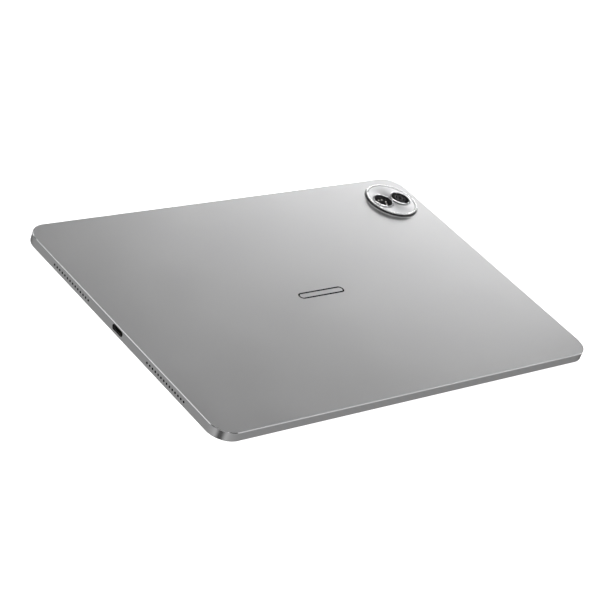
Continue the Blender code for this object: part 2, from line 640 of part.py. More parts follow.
def screw(name, centre, head_high, shank_high):
    """A screw with its head towards the screen and its shank in the boss above."""
    head_low = head_high - SCREW_HEAD_HEIGHT
    head = round_bar(centre, SCREW_HEAD_RADIUS, head_low, head_high)
    piece = add_piece(name, head, STEEL, (*centre, head_low))
    shank = round_bar((0, 0), SCREW_SHANK_RADIUS, SCREW_HEAD_HEIGHT / 2, shank_high - head_low)
    tool = add_cutter(f"{name}_shank", shank)
    tool.location = piece.location
    boolean = piece.modifiers.new("combine", "BOOLEAN")
    boolean.operation = "UNION"
    boolean.object = tool


def drill_board(board, centres, low, high):
    holes = bmesh.new()
    for centre in centres:
        add_round_bar(holes, centre, SCREW_SHANK_RADIUS + FIT_GAP,
                      low - CUT_PAST, high + CUT_PAST, "Z", SMALL_STEPS)
    cut(board, to_mesh(holes))


def make_main_board():
    main_screws, usb_screws = screw_places()
    board = add_piece("main_board", box((BOARD_LEFT, BOARD_NEAR, BOARD_LOW),
                                        (BOARD_RIGHT, BOARD_FAR, BOARD_HIGH)), CIRCUIT)
    drill_board(board, main_screws, BOARD_LOW, BOARD_HIGH)
    shank_high = BODY_THICKNESS - SCREW_SKIN - FIT_GAP
    for index, centre in enumerate(main_screws):
        screw(f"board_screw_{index + 1}", centre, BOARD_LOW - BOND_GAP, shank_high)

    shield_left = BOARD_MID_X - SHIELD_WIDTH / 2
    processor_near = BOARD_FAR - SHIELD_END_ROOM - PROCESSOR_SHIELD_LENGTH
    power_near = processor_near - PART_ROOM - POWER_SHIELD_LENGTH
    radio_y = power_near - PART_ROOM - RADIO_SIZE / 2
    open_can("processor_shield", shield_left, processor_near,
             SHIELD_WIDTH, PROCESSOR_SHIELD_LENGTH, TIN)
    open_can("power_shield", shield_left, power_near, SHIELD_WIDTH, POWER_SHIELD_LENGTH, TIN)
    processor_y = processor_near + CHIP_END_ROOM + PROCESSOR_SIZE / 2
    storage_y = processor_near + PROCESSOR_SHIELD_LENGTH - CHIP_END_ROOM - STORAGE_LENGTH / 2
    chip("processor_chip", (BOARD_MID_X, processor_y), PROCESSOR_SIZE, PROCESSOR_SIZE)
    chip("storage_chip", (BOARD_MID_X, storage_y), STORAGE_WIDTH, STORAGE_LENGTH)
    chip("power_chip", (BOARD_MID_X, power_near + POWER_SHIELD_LENGTH / 2),
         POWER_CHIP_SIZE, POWER_CHIP_SIZE)
    chip("radio_module", (BOARD_MID_X, radio_y), RADIO_SIZE, RADIO_SIZE, TIN)

    block("heat_spreader",
          (shield_left, processor_near, SPREADER_HIGH - SPREADER_THICKNESS),
          (shield_left + SHIELD_WIDTH, processor_near + PROCESSOR_SHIELD_LENGTH, SPREADER_HIGH),
          GRAPHITE)


# ---------------------------------------------------------------- USB-C socket and its board
def make_usb():
    shell = add_piece("usb_shell", rounded_plate(
        (0, USB_Z), USB_SHELL_WIDTH, USB_SHELL_HEIGHT, USB_SHELL_HEIGHT * ROUND_END,
        USB_SHELL_X, USB_SHELL_X + USB_SHELL_LENGTH, SLOT_STEPS, "X"), STEEL)
    inner_height = USB_SHELL_HEIGHT - 2 * USB_SHELL_SKIN
    inner_end = USB_SHELL_X + USB_SHELL_LENGTH - USB_SHELL_SKIN
    cut(shell, rounded_plate(
        (0, USB_Z), USB_SHELL_WIDTH - 2 * USB_SHELL_SKIN, inner_height,
        inner_height * ROUND_END, USB_SHELL_X - CUT_PAST, inner_end, SLOT_STEPS, "X"))

    tongue_end = inner_end - FIT_GAP
    block("usb_tongue",
          (tongue_end - TONGUE_LENGTH, -TONGUE_WIDTH / 2, USB_Z - TONGUE_THICKNESS / 2),
          (tongue_end, TONGUE_WIDTH / 2, USB_Z + TONGUE_THICKNESS / 2),
          BLACK_PLASTIC)

    board_low = USB_Z - USB_BOARD_THICKNESS / 2
    board_high = USB_Z + USB_BOARD_THICKNESS / 2
    board = add_piece("usb_board", box((USB_BOARD_LEFT, -USB_BOARD_HALF, board_low),
                                       (USB_BOARD_RIGHT, USB_BOARD_HALF, board_high)), CIRCUIT)
    cut(board, box((USB_BOARD_LEFT - CUT_PAST, -USB_NOTCH_HALF, board_low - CUT_PAST),
                   (USB_SHELL_X + USB_SHELL_LENGTH + FIT_GAP, USB_NOTCH_HALF,
                    board_high + CUT_PAST)))
    main_screws, usb_screws = screw_places()
    drill_board(board, usb_screws, board_low, board_high)
    for index, centre in enumerate(usb_screws):
        screw(f"usb_board_screw_{index + 1}", centre, board_low - FIT_GAP,
              BODY_THICKNESS - SCREW_SKIN - FIT_GAP)

    lane_x = USB_BOARD_RIGHT + FIT_GAP + FLEX_WIDTH / 2
    lane_y = -BATTERY_HALF_WIDTH - FIT_GAP - FLEX_WIDTH / 2
    flex_low = board_high + FIT_GAP
    start_y = -USB_BOARD_HALF + FLEX_WIDTH / 2
    path = [(USB_BOARD_RIGHT - FLEX_WIDTH, start_y), (lane_x, start_y), (lane_x, lane_y),
            (BOARD_MID_X, lane_y), (BOARD_MID_X, BOARD_NEAR - FIT_GAP)]
    add_piece("interconnect_flex",
              plate(lane(path, FLEX_WIDTH), flex_low, flex_low + FLEX_THICKNESS),
              FLEX, (lane_x, lane_y, flex_low))


# ---------------------------------------------------------------- speakers
def make_speaker(place, side_x, side_y):
    """One speaker: dust mesh behind the holes, a box with a port, and its diaphragm."""
    middle_y = side_y * SPEAKER_Y
    half_length = SPEAKER_LENGTH / 2

    def span(near_wall, far_in):
        """The two X coordinates of a slab between two distances from the middle."""
        return sorted((side_x * near_wall, side_x * far_in))

    mesh_x = span(MESH_OUTER_X - MESH_THICKNESS, MESH_OUTER_X)
    mesh_z = MID_HEIGHT - HOLE_DROP
    block(f"speaker_mesh_{place}",
          (mesh_x[0], middle_y - half_length, mesh_z - MESH_HEIGHT / 2),
          (mesh_x[1], middle_y + half_length, mesh_z + MESH_HEIGHT / 2), BLACK_PLASTIC)

    box_x = span(SPEAKER_INNER_X, SPEAKER_OUTER_X)
    centre = ((box_x[0] + box_x[1]) / 2, middle_y, INSIDE_LOW)
    speaker = add_piece(f"speaker_box_{place}", box(
        (box_x[0], middle_y - half_length, INSIDE_LOW),
        (box_x[1], middle_y + half_length, INSIDE_HIGH)), BLACK_PLASTIC, centre)
    floor = INSIDE_LOW + SPEAKER_FLOOR
    well_length = SPEAKER_DEPTH - 2 * SPEAKER_WALL
    well_width = SPEAKER_LENGTH - 2 * SPEAKER_WALL
    well = box((-well_length / 2, -well_width / 2, floor - INSIDE_LOW),
               (well_length / 2, well_width / 2, INSIDE_HIGH - INSIDE_LOW + CUT_PAST))
    port_x = sorted((0.0, side_x * (SPEAKER_DEPTH / 2 + CUT_PAST)))
    port = box((port_x[0], -PORT_WIDTH / 2, floor - INSIDE_LOW),
               (port_x[1], PORT_WIDTH / 2, floor - INSIDE_LOW + PORT_HEIGHT))
    for index, mesh in enumerate((well, port)):
        tool = add_cutter(f"speaker_{place}_tool_{index}", mesh)
        tool.location = centre
        boolean = speaker.modifiers.new("combine", "BOOLEAN")
        boolean.operation = "DIFFERENCE"
        boolean.object = tool

    rest_low = floor + DIAPHRAGM_TRAVEL + FIT_GAP
    add_piece(f"speaker_diaphragm_{place}", rounded_plate(
        centre, well_length - 2 * FIT_GAP, well_width - 2 * FIT_GAP, DIAPHRAGM_CORNER,
        rest_low, rest_low + DIAPHRAGM_THICKNESS), BLACK_PLASTIC,
        (centre[0], centre[1], rest_low))


# ---------------------------------------------------------------- camera island
def make_camera_island():
    back = BODY_THICKNESS
    foot = back - RING_SEAT_DEPTH + FIT_GAP
    ledge = back + RING_LEDGE_HEIGHT
    top = back + RING_HEIGHT
    upper_radius = RING_RADIUS - RING_STEP
    lip = [(upper_radius - RING_LIP + RING_LIP * math.sin(angle),
            top - RING_LIP + RING_LIP * math.cos(angle))
           for angle in (math.radians(step) for step in (0, 30, 60, 90))]
    profile = [(PLATE_POCKET, top - RING_BREAK),
               (PLATE_POCKET + RING_BREAK, top),
               *lip,
               (upper_radius, back + RING_FOOT_HEIGHT),
               (RING_RADIUS - RING_BREAK, back + RING_FOOT_HEIGHT),
               (RING_RADIUS, back + RING_FOOT_HEIGHT - RING_BREAK),
               (RING_RADIUS, foot),
               (PLATE_POCKET - RING_LEDGE_WIDTH, foot),
               (PLATE_POCKET - RING_LEDGE_WIDTH, ledge),
               (PLATE_POCKET, ledge)]
    turned_piece("camera_ring", profile, (CAMERA_X, CAMERA_Y), POLISHED)

    disc = add_piece("camera_plate", round_bar(
        (CAMERA_X, CAMERA_Y), PLATE_POCKET - FIT_GAP, PLATE_LOW, PLATE_LOW + PLATE_THICKNESS,
        "Z", ROUND_STEPS), BRUSHED)
    holes = bmesh.new()
    for lens_x in (MAIN_LENS_X, FLASH_LENS_X):
        add_round_bar(holes, (lens_x, CAMERA_Y), RIM_RADIUS + FIT_GAP,
                      PLATE_LOW - CUT_PAST, PLATE_LOW + PLATE_THICKNESS + CUT_PAST,
                      "Z", ROUND_STEPS)
    cut(disc, to_mesh(holes))

    for use, lens_x in (("main", MAIN_LENS_X), ("flash", FLASH_LENS_X)):
        rim_top = PLATE_LOW + RIM_HEIGHT
        rim_ledge = PLATE_LOW + RIM_LEDGE
        rim_bore = RIM_RADIUS - RIM_WALL
        ledge_bore = rim_bore - RIM_LEDGE_WIDTH
        rim = [(rim_bore, rim_top - RIM_INNER_BREAK),
               (rim_bore + RIM_INNER_BREAK, rim_top),
               (RIM_RADIUS - RIM_OUTER_BREAK, rim_top),
               (RIM_RADIUS, rim_top - RIM_OUTER_BREAK),
               (RIM_RADIUS, PLATE_LOW),
               (ledge_bore, PLATE_LOW),
               (ledge_bore, rim_ledge),
               (rim_bore, rim_ledge)]
        turned_piece(f"lens_rim_{use}", rim, (lens_x, CAMERA_Y), POLISHED, LENS_STEPS)
        add_piece(f"lens_window_{use}", round_bar(
            (lens_x, CAMERA_Y), rim_bore - FIT_GAP, WINDOW_LOW, WINDOW_LOW + WINDOW_THICKNESS,
            "Z", LENS_STEPS), LENS_GLASS, (lens_x, CAMERA_Y, WINDOW_LOW))


def make_cameras():
    half = CAMERA_BLOCK / 2
    block_high = BODY_THICKNESS + CAMERA_BLOCK_PROUD
    bore_low = INSIDE_LOW + CAMERA_FLOOR
    camera = add_piece("main_camera", box(
        (MAIN_LENS_X - half, CAMERA_Y - half, INSIDE_LOW),
        (MAIN_LENS_X + half, CAMERA_Y + half, block_high)), BLACK_PLASTIC)
    cut(camera, round_bar((MAIN_LENS_X, CAMERA_Y), BARREL_RADIUS + FIT_GAP,
                          bore_low, block_high + CUT_PAST, "Z", LENS_STEPS))
    barrel_low = bore_low + FIT_GAP
    add_piece("focus_barrel", round_bar(
        (MAIN_LENS_X, CAMERA_Y), BARREL_RADIUS, barrel_low, WINDOW_LOW - FOCUS_TRAVEL - FIT_GAP,
        "Z", LENS_STEPS),
        BLACK_PLASTIC, (MAIN_LENS_X, CAMERA_Y, barrel_low))

    board_high = block_high + FIT_GAP
    board_low = board_high - FLASH_BOARD_THICKNESS
    flash = add_piece("flash_module", box(
        (FLASH_LENS_X - half, CAMERA_Y - half, board_low),
        (FLASH_LENS_X + half, CAMERA_Y + half, board_high)), CHIP)
    lamps = bmesh.new()
    for index in range(LED_COUNT):
        angle = math.tau * index / LED_COUNT
        add_round_bar(lamps, (FLASH_LENS_X + LED_RING_RADIUS * math.cos(angle),
                              CAMERA_Y + LED_RING_RADIUS * math.sin(angle)),
                      LED_RADIUS, board_high - LED_ROOT, board_high + LED_HEIGHT,
                      "Z", SMALL_STEPS)
    join(flash, to_mesh(lamps))

    front_y = HALF_WIDTH - FRONT_CAMERA_FROM_TOP
    half = FRONT_CAMERA_SIZE / 2
    block("front_camera", (-half, front_y - half, CELL_LOW),
          (half, front_y + half, CELL_LOW + FRONT_CAMERA_HEIGHT), BLACK_PLASTIC)
    block("light_sensor",
          (-SENSOR_OFFSET - SENSOR_LENGTH / 2, front_y - SENSOR_WIDTH / 2, CELL_LOW),
          (-SENSOR_OFFSET + SENSOR_LENGTH / 2, front_y + SENSOR_WIDTH / 2,
           CELL_LOW + SENSOR_HEIGHT), CHIP)


# ---------------------------------------------------------------- buttons and their switches
def make_buttons():
    flange_outer = CAVITY_X - FIT_GAP
    flange_inner = flange_outer - BUTTON_FLANGE
    slot = BUTTON_HEIGHT + 2 * FIT_GAP
    flange_height = slot + 2 * FLANGE_SIDE_OVERLAP
    power = add_piece("power_button", rounded_plate(
        (POWER_Y, MID_HEIGHT), POWER_LENGTH, BUTTON_HEIGHT, BUTTON_HEIGHT * ROUND_END,
        flange_inner + BUTTON_FLANGE / 2, HALF_LENGTH + BUTTON_PROUD, SLOT_STEPS, "X"), ALUMINIUM,
        (flange_outer, POWER_Y, MID_HEIGHT))
    flange_length = POWER_LENGTH + 2 * FIT_GAP + 2 * FLANGE_OVERLAP
    join(power, rounded_plate((POWER_Y, MID_HEIGHT), flange_length, flange_height, FLANGE_CORNER,
                              flange_inner, flange_outer, 4, "X"))
    switch_outer = flange_inner - POWER_TRAVEL - FIT_GAP
    block("power_switch",
          (switch_outer - SWITCH_DEPTH, POWER_Y - SWITCH_LENGTH / 2, MID_HEIGHT - SWITCH_HEIGHT / 2),
          (switch_outer, POWER_Y + SWITCH_LENGTH / 2, MID_HEIGHT + SWITCH_HEIGHT / 2), BLACK_PLASTIC)

    flange_outer = CAVITY_Y - FIT_GAP
    flange_inner = flange_outer - BUTTON_FLANGE
    rocker = add_piece("volume_rocker", rounded_plate(
        (ROCKER_X, MID_HEIGHT), ROCKER_LENGTH, BUTTON_HEIGHT, BUTTON_HEIGHT * ROUND_END,
        flange_inner + BUTTON_FLANGE / 2, HALF_WIDTH + BUTTON_PROUD, SLOT_STEPS, "Y"), ALUMINIUM,
        (ROCKER_X, flange_outer, MID_HEIGHT))
    flange_length = ROCKER_LENGTH + 2 * FIT_GAP + 2 * FLANGE_OVERLAP
    join(rocker, rounded_plate((ROCKER_X, MID_HEIGHT), flange_length, flange_height, FLANGE_CORNER,
                               flange_inner, flange_outer, 4, "Y"))
    switch_outer = flange_inner - ROCKER_END_TRAVEL - FIT_GAP - DOME_HEIGHT
    board = add_piece("volume_switch_board", box(
        (ROCKER_X - ROCKER_LENGTH / 2, switch_outer - SWITCH_DEPTH, MID_HEIGHT - SWITCH_HEIGHT / 2),
        (ROCKER_X + ROCKER_LENGTH / 2, switch_outer, MID_HEIGHT + SWITCH_HEIGHT / 2)), BLACK_PLASTIC)
    domes = bmesh.new()
    for side in (-1, 1):
        add_round_bar(domes, (ROCKER_X + side * DOME_OFFSET, MID_HEIGHT), DOME_RADIUS,
                      switch_outer - DOME_HEIGHT, switch_outer + DOME_HEIGHT, "Y", SMALL_STEPS)
    join(board, to_mesh(domes))


# ---------------------------------------------------------------- parts along the far long side
def make_edge_parts():
    near = EDGE_PART_FAR - EDGE_PART_DEPTH
    coil_low = MID_HEIGHT - PEN_COIL_HEIGHT / 2
    block("pen_charging_coil", (PEN_COIL_START, near, coil_low + FIT_GAP),
          (PEN_COIL_START + PEN_COIL_LENGTH, EDGE_PART_FAR, coil_low + FIT_GAP + PEN_COIL_HEIGHT),
          COPPER)
    antenna_low = MID_HEIGHT + FIT_GAP
    antenna_high = antenna_low + ANTENNA_THICKNESS
    left = -HALF_LENGTH + ANTENNA_END_ROOM
    block("antenna_left", (left, near, antenna_low),
          (left + ANTENNA_LEFT_LENGTH, EDGE_PART_FAR, antenna_high), COPPER)
    flange_half = ROCKER_LENGTH / 2 + FIT_GAP + FLANGE_OVERLAP
    right = ROCKER_X - flange_half - PART_ROOM
    block("antenna_right", (right - ANTENNA_RIGHT_LENGTH, near, antenna_low),
          (right, EDGE_PART_FAR, antenna_high), COPPER)
    microphone_low = MID_HEIGHT - MICROPHONE_HEIGHT / 2 + FIT_GAP
    block("microphone",
          (-MICROPHONE_OFFSET - MICROPHONE_LENGTH / 2, EDGE_PART_FAR - MICROPHONE_DEPTH,
           microphone_low),
          (-MICROPHONE_OFFSET + MICROPHONE_LENGTH / 2, EDGE_PART_FAR,
           microphone_low + MICROPHONE_HEIGHT), CHIP)


make_rear_housing()
make_display()
make_batteries()
make_main_board()
make_usb()
for place_x, sign_x in (("left", -1), ("right", 1)):
    for place_y, sign_y in (("near", -1), ("far", 1)):
        make_speaker(f"{place_x}_{place_y}", sign_x, sign_y)
make_camera_island()
make_cameras()
make_buttons()
make_edge_parts()
bpy.context.view_layer.update()
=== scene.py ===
"""A slim tablet computer lying on its screen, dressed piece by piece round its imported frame."""
import json
import math

import bmesh
import bpy
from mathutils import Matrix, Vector

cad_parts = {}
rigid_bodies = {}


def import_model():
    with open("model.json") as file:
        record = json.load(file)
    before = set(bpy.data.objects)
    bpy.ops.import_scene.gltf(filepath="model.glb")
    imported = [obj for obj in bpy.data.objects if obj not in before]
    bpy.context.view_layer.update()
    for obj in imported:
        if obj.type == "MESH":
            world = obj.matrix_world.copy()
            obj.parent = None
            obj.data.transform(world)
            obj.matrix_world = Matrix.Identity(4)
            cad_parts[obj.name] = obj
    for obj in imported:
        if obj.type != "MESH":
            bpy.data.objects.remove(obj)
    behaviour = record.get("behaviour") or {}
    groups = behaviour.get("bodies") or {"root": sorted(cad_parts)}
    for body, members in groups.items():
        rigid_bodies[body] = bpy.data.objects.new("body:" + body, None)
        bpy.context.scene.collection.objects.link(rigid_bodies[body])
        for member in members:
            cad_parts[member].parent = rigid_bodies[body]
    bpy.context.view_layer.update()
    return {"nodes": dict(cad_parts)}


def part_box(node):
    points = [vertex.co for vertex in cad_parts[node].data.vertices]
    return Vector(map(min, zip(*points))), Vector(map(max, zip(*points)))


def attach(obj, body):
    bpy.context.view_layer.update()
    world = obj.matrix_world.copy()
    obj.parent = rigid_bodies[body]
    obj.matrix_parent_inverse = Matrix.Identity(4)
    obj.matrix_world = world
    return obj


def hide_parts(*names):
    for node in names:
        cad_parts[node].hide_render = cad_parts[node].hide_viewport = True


for starter in list(bpy.data.objects):
    bpy.data.objects.remove(starter, do_unlink=True)
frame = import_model()
MM = 0.001

# ------------------------------------------------------------------ camera
# A long lens looks down on the port end from thirty degrees above the table,
# turned so that the tablet's long side runs uphill to the right.
bpy.ops.object.camera_add(
    location=(-0.76475, -0.62837, 0.57857),
    rotation=[math.radians(turn) for turn in (57.7758, -18.0414, -39.1068)])
camera = bpy.context.active_object
camera.name = "studio_camera"
camera.data.sensor_width = 36.0
camera.data.lens = 125.435
camera.data.clip_start = 0.01
bpy.context.scene.camera = camera
bpy.context.scene.view_settings.view_transform = "Standard"

# ------------------------------------------------------------------ table and lights
# A white laminate table, wide enough to fill the view, in a banded grey studio
# with a strong low soft box opposite the camera and three weak ones round it.


class Socket:
    """The output of a material's node. Arithmetic on it adds Math nodes."""

    def __init__(self, tree, output):
        self.tree = tree
        self.output = output

    def node(self, kind, settings, inputs, output=0):
        """Add a node, choose its settings, fill its inputs with values or links."""
        made = self.tree.nodes.new("ShaderNode" + kind)
        for setting, choice in settings.items():
            if setting == "stops":
                ramp = made.color_ramp
                while len(ramp.elements) < len(choice):
                    ramp.elements.new(0.5)
                for element, (place, colour) in zip(ramp.elements, choice):
                    element.position = place
                    element.color = (*colour, 1.0)
            else:
                setattr(made, setting, choice)
        for name, value in inputs.items():
            if isinstance(value, Socket):
                self.tree.links.new(value.output, made.inputs[name])
            else:
                made.inputs[name].default_value = value
        return Socket(self.tree, made.outputs[output])

    def math(self, operation, *values):
        return self.node("Math", {"operation": operation}, dict(enumerate(values)))

    def __add__(self, other):
        return self.math("ADD", self, other)

    def __radd__(self, other):
        return self.math("ADD", other, self)

    def __sub__(self, other):
        return self.math("SUBTRACT", self, other)

    def __rsub__(self, other):
        return self.math("SUBTRACT", other, self)

    def __mul__(self, other):
        return self.math("MULTIPLY", self, other)

    def __rmul__(self, other):
        return self.math("MULTIPLY", other, self)

    def __truediv__(self, other):
        return self.math("DIVIDE", self, other)

    def __abs__(self):
        return self.math("ABSOLUTE", self)

    def __gt__(self, other):
        return self.math("GREATER_THAN", self, other)

    def __lt__(self, other):
        return self.math("LESS_THAN", self, other)


class Finish:
    """A material: fixed values go on its shader, and patterns are drawn on its place."""

    def __init__(self, name, **fixed):
        self.material = bpy.data.materials.new(name)
        self.material.use_nodes = True
        tree = self.material.node_tree
        self.shader = tree.nodes["Principled BSDF"]
        for key, value in fixed.items():
            socket = self.shader.inputs[key.replace("_", " ")]
            socket.default_value = (*value, 1.0) if isinstance(value, tuple) else value
        coordinates = tree.nodes.new("ShaderNodeTexCoord")
        self.place = Socket(tree, coordinates.outputs["Object"])

    def noise(self, size, detail=2.0, roughness=0.5, squeeze=None):
        """Soft noise whose blotches are about one size across, from 0 to 1."""
        place = self.place
        if squeeze:
            place = place.node("VectorMath", {"operation": "MULTIPLY"}, {0: place, 1: squeeze})
        return self.place.node("TexNoise", {}, {
            "Vector": place, "Scale": 1 / size, "Detail": detail, "Roughness": roughness})

    def waves(self, along, pitch):
        """A sine along one coordinate, from -1 to 1, with one crest in each pitch."""
        return self.place.math("SINE", along * (math.tau / pitch))

    def axes(self):
        """The three coordinates of the place, in metres."""
        return [self.place.node("SeparateXYZ", {}, {0: self.place}, axis) for axis in range(3)]

    def blend(self, mask, first, second):
        """A colour that goes from the first to the second as the mask goes from 0 to 1."""
        ends = [(*end, 1.0) if isinstance(end, tuple) else end for end in (first, second)]
        return self.place.node("Mix", {"data_type": "RGBA"}, {0: mask, 6: ends[0], 7: ends[1]}, 2)

    def drive(self, **inputs):
        """Link what changes over the surface to the shader."""
        for key, value in inputs.items():
            self.place.tree.links.new(value.output, self.shader.inputs[key.replace("_", " ")])
        return self

    def mottle(self, pattern, first, second, roughness, spread):
        """Let one pattern shift the colour between two, and the roughness by a spread."""
        return self.drive(Base_Color=self.blend(pattern, first, second),
                          Roughness=roughness + spread * pattern)

    def raise_by(self, height, depth, strength=1.0):
        """Bump the surface by a height from 0 to 1 times a depth."""
        self.drive(Normal=self.place.node("Bump", {}, {
            "Height": height, "Distance": depth, "Strength": strength}))
        return self

    def put_on(self, *pieces):
        for piece in pieces:
            piece.data.materials.clear()
            piece.data.materials.append(self.material)


laminate = Finish("white_laminate", Base_Color=(0.9, 0.9, 0.9), Roughness=0.7,
                  Emission_Color=(1.0, 1.0, 1.0), Emission_Strength=1.1)
laminate.shader.inputs["Specular IOR Level"].default_value = 0.1
laminate.raise_by(laminate.noise(0.6 * MM), 0.01 * MM, 0.1)
bpy.ops.object.select_all(action="DESELECT")
bpy.ops.mesh.primitive_plane_add(size=12.0, location=(0, 0, -0.05 * MM))
table = bpy.context.active_object
table.name = "table_top"
bpy.ops.object.transform_apply(location=True, rotation=True, scale=True)
laminate.put_on(table)
table.visible_glossy = False

STUDIO_LEVELS = (  # elevation in degrees, brightness of the studio there
    (-90, 0.1), (-50, 0.10), (-42, 0.85), (-2, 0.85), (2, 0.45), (9, 0.60), (11, 1.20),
    (19, 1.20), (22, 0.44), (26, 0.24), (33, 0.08), (48, 0.08), (58, 0.40), (70, 0.60), (90, 0.60))
FLOOR_LEVELS = (  # cosine of the bearing from the camera's side, brightness low down there
    (-1.0, 0.22), (-0.55, 0.22), (-0.3, 0.45), (0.3, 0.50), (0.75, 0.62), (0.90, 1.0),
    (0.955, 0.62), (0.985, 0.04), (1.0, 0.02))
CAMERA_SIDE = math.radians(-140.6)
BRIGHTEST = 1.2
world = bpy.data.worlds.new("studio")
world.use_nodes = True
bpy.context.scene.world = world
background = world.node_tree.nodes["Background"]
direction = Socket(world.node_tree, world.node_tree.nodes.new(
    "ShaderNodeTexCoord").outputs["Generated"])
height = direction.node("SeparateXYZ", {}, {0: direction}, 2)
stops = [((math.sin(math.radians(elevation)) + 1) / 2, (level / BRIGHTEST,) * 3)
         for elevation, level in STUDIO_LEVELS]
levels = height.node("ValToRGB", {"stops": stops}, {0: height * 0.5 + 0.5})
level_ground = direction.node("VectorMath", {"operation": "MULTIPLY"}, {
    0: direction, 1: (1.0, 1.0, 0.0)})
bearing = level_ground.node("VectorMath", {"operation": "DOT_PRODUCT"}, {
    0: level_ground.node("VectorMath", {"operation": "NORMALIZE"}, {0: level_ground}),
    1: (math.cos(CAMERA_SIDE), math.sin(CAMERA_SIDE), 0.0)}, 1)
floor_stops = [((cosine + 1) / 2, (level,) * 3) for cosine, level in FLOOR_LEVELS]
floor_levels = bearing.node("ValToRGB", {"stops": floor_stops}, {0: bearing * 0.5 + 0.5})
low_down = height < -0.03
tint = direction.node("Mix", {"data_type": "RGBA"}, {
    0: low_down, 6: (1.0, 1.0, 1.0, 1.0), 7: floor_levels}, 2)
sky = direction.node("Mix", {"data_type": "RGBA", "blend_type": "MULTIPLY"}, {
    0: 1.0, 6: levels, 7: tint}, 2)
world.node_tree.links.new(sky.output, background.inputs["Color"])
background.inputs["Strength"].default_value = BRIGHTEST

SOFT_BOXES = (  # bearing and elevation in degrees, width, height, watts
    (39, 12, 0.8, 0.2, 5.8),
    (133, 40, 1.1, 0.5, 1.3),
    (-37, 33, 1.3, 0.5, 1.2),
    (-108, 42, 0.16, 0.3, 0.5),
)
BOX_DISTANCE = 1.6
for number, (bearing, elevation, width, depth, watts) in enumerate(SOFT_BOXES):
    around, above = math.radians(bearing), math.radians(elevation)
    place = BOX_DISTANCE * Vector((math.cos(around) * math.cos(above),
                                   math.sin(around) * math.cos(above), math.sin(above)))
    bpy.ops.object.light_add(type="AREA", location=place)
    lamp = bpy.context.active_object
    lamp.name = f"soft_box_{number + 1}"
    lamp.rotation_euler = (-place).to_track_quat("-Z", "Y").to_euler()
    lamp.data.shape = "RECTANGLE"
    lamp.data.size = width
    lamp.data.size_y = depth
    lamp.data.energy = watts


# ------------------------------------------------------------------ rear housing
# One tray milled from an aluminium slab, bead blasted and anodised grey. Its back
# edge is cut again with a diamond, which leaves a bright flat chamfer.


def settle(name):
    """Name the object just added and move its place and size into its mesh."""
    piece = bpy.context.active_object
    piece.name = name
    piece.data.name = name
    bpy.ops.object.transform_apply(location=True, rotation=True, scale=True)
    return piece


def add_block(name, low, high):
    """A block between two corners, ready to be shaped."""
    low, high = Vector(low), Vector(high)
    bpy.ops.object.select_all(action="DESELECT")
    bpy.ops.mesh.primitive_cube_add(size=1.0, location=(low + high) / 2)
    bpy.context.active_object.scale = high - low
    return settle(name)


def select_only(*pieces):
    """Select these pieces and nothing else, with the first of them active."""
    bpy.ops.object.select_all(action="DESELECT")
    for piece in pieces:
        piece.select_set(True)
    bpy.context.view_layer.objects.active = pieces[0]


def shape(piece, *steps):
    """Run shaping steps on one piece in edit mode. Each step is a function of its mesh."""
    select_only(piece)
    bpy.ops.object.mode_set(mode="EDIT")
    for step in steps:
        step(piece)
    bpy.ops.object.mode_set(mode="OBJECT")
    return piece


def pick(piece, kind, test):
    """Select the faces, edges or verts of a piece in edit mode that pass a test."""
    bpy.ops.mesh.select_mode(type={"faces": "FACE", "edges": "EDGE", "verts": "VERT"}[kind])
    bpy.ops.mesh.select_all(action="DESELECT")
    inside = bmesh.from_edit_mesh(piece.data)
    for element in getattr(inside, kind):
        if test(element):
            element.select_set(True)
    bmesh.update_edit_mesh(piece.data)


def along(edge, axis):
    """True if an edge runs along an axis: 0, 1 or 2."""
    run = edge.verts[0].co - edge.verts[1].co
    return abs(run[axis]) > 0.999 * run.length


def at(element, axis, level, slack=0.01 * MM):
    """True if every corner of an edge or face is at one level of an axis."""
    return all(abs(vert.co[axis] - level) < slack for vert in element.verts)


def round_corners(axis, radius, segments):
    """A step: round the four edges of a block that run along an axis."""
    def step(piece):
        pick(piece, "edges", lambda edge: along(edge, axis))
        bpy.ops.mesh.bevel(offset=radius, segments=segments, affect="EDGES", clamp_overlap=False)
    return step


def break_edge(axis, level, width, segments=1):
    """A step: bevel the edges that lie at one level of an axis."""
    def step(piece):
        pick(piece, "edges", lambda edge: at(edge, axis, level))
        bpy.ops.mesh.bevel(offset=width, segments=segments, affect="EDGES", clamp_overlap=False)
    return step


def sink(axis, level, inset, depth):
    """A step: inset the face at one level of an axis and push it in by a depth."""
    def step(piece):
        pick(piece, "faces", lambda face: at(face, axis, level))
        bpy.ops.mesh.inset(thickness=inset, depth=0.0)
        push = [0.0, 0.0, 0.0]
        push[axis] = depth
        bpy.ops.mesh.extrude_region_move(TRANSFORM_OT_translate={"value": push})
    return step


def use_modifier(piece, kind, **settings):
    """Add a modifier to a piece, set it and apply it."""
    select_only(piece)
    bpy.ops.object.modifier_add(type=kind)
    modifier = piece.modifiers[-1]
    for setting, value in settings.items():
        setattr(modifier, setting, value)
    bpy.ops.object.modifier_apply(modifier=modifier.name)


def cut(piece, cutters, operation="DIFFERENCE"):
    """Cut a list of shapes from a piece, or join them to it, and throw them away."""
    for cutter in cutters:
        use_modifier(piece, "BOOLEAN", operation=operation, solver="EXACT", object=cutter)
        bpy.data.objects.remove(cutter, do_unlink=True)


def joined(pieces, name="cutters"):
    """Join several shapes into the first of them, under one name."""
    select_only(*pieces)
    bpy.ops.object.join()
    pieces[0].name = pieces[0].data.name = name
    return pieces[0]


def smooth(piece, angle=30.0):
    """Shade a piece smooth up to an angle, with its big flat faces kept flat."""
    select_only(piece)
    bpy.ops.object.shade_smooth_by_angle(angle=math.radians(angle))
    use_modifier(piece, "WEIGHTED_NORMAL", keep_sharp=True, weight=100)


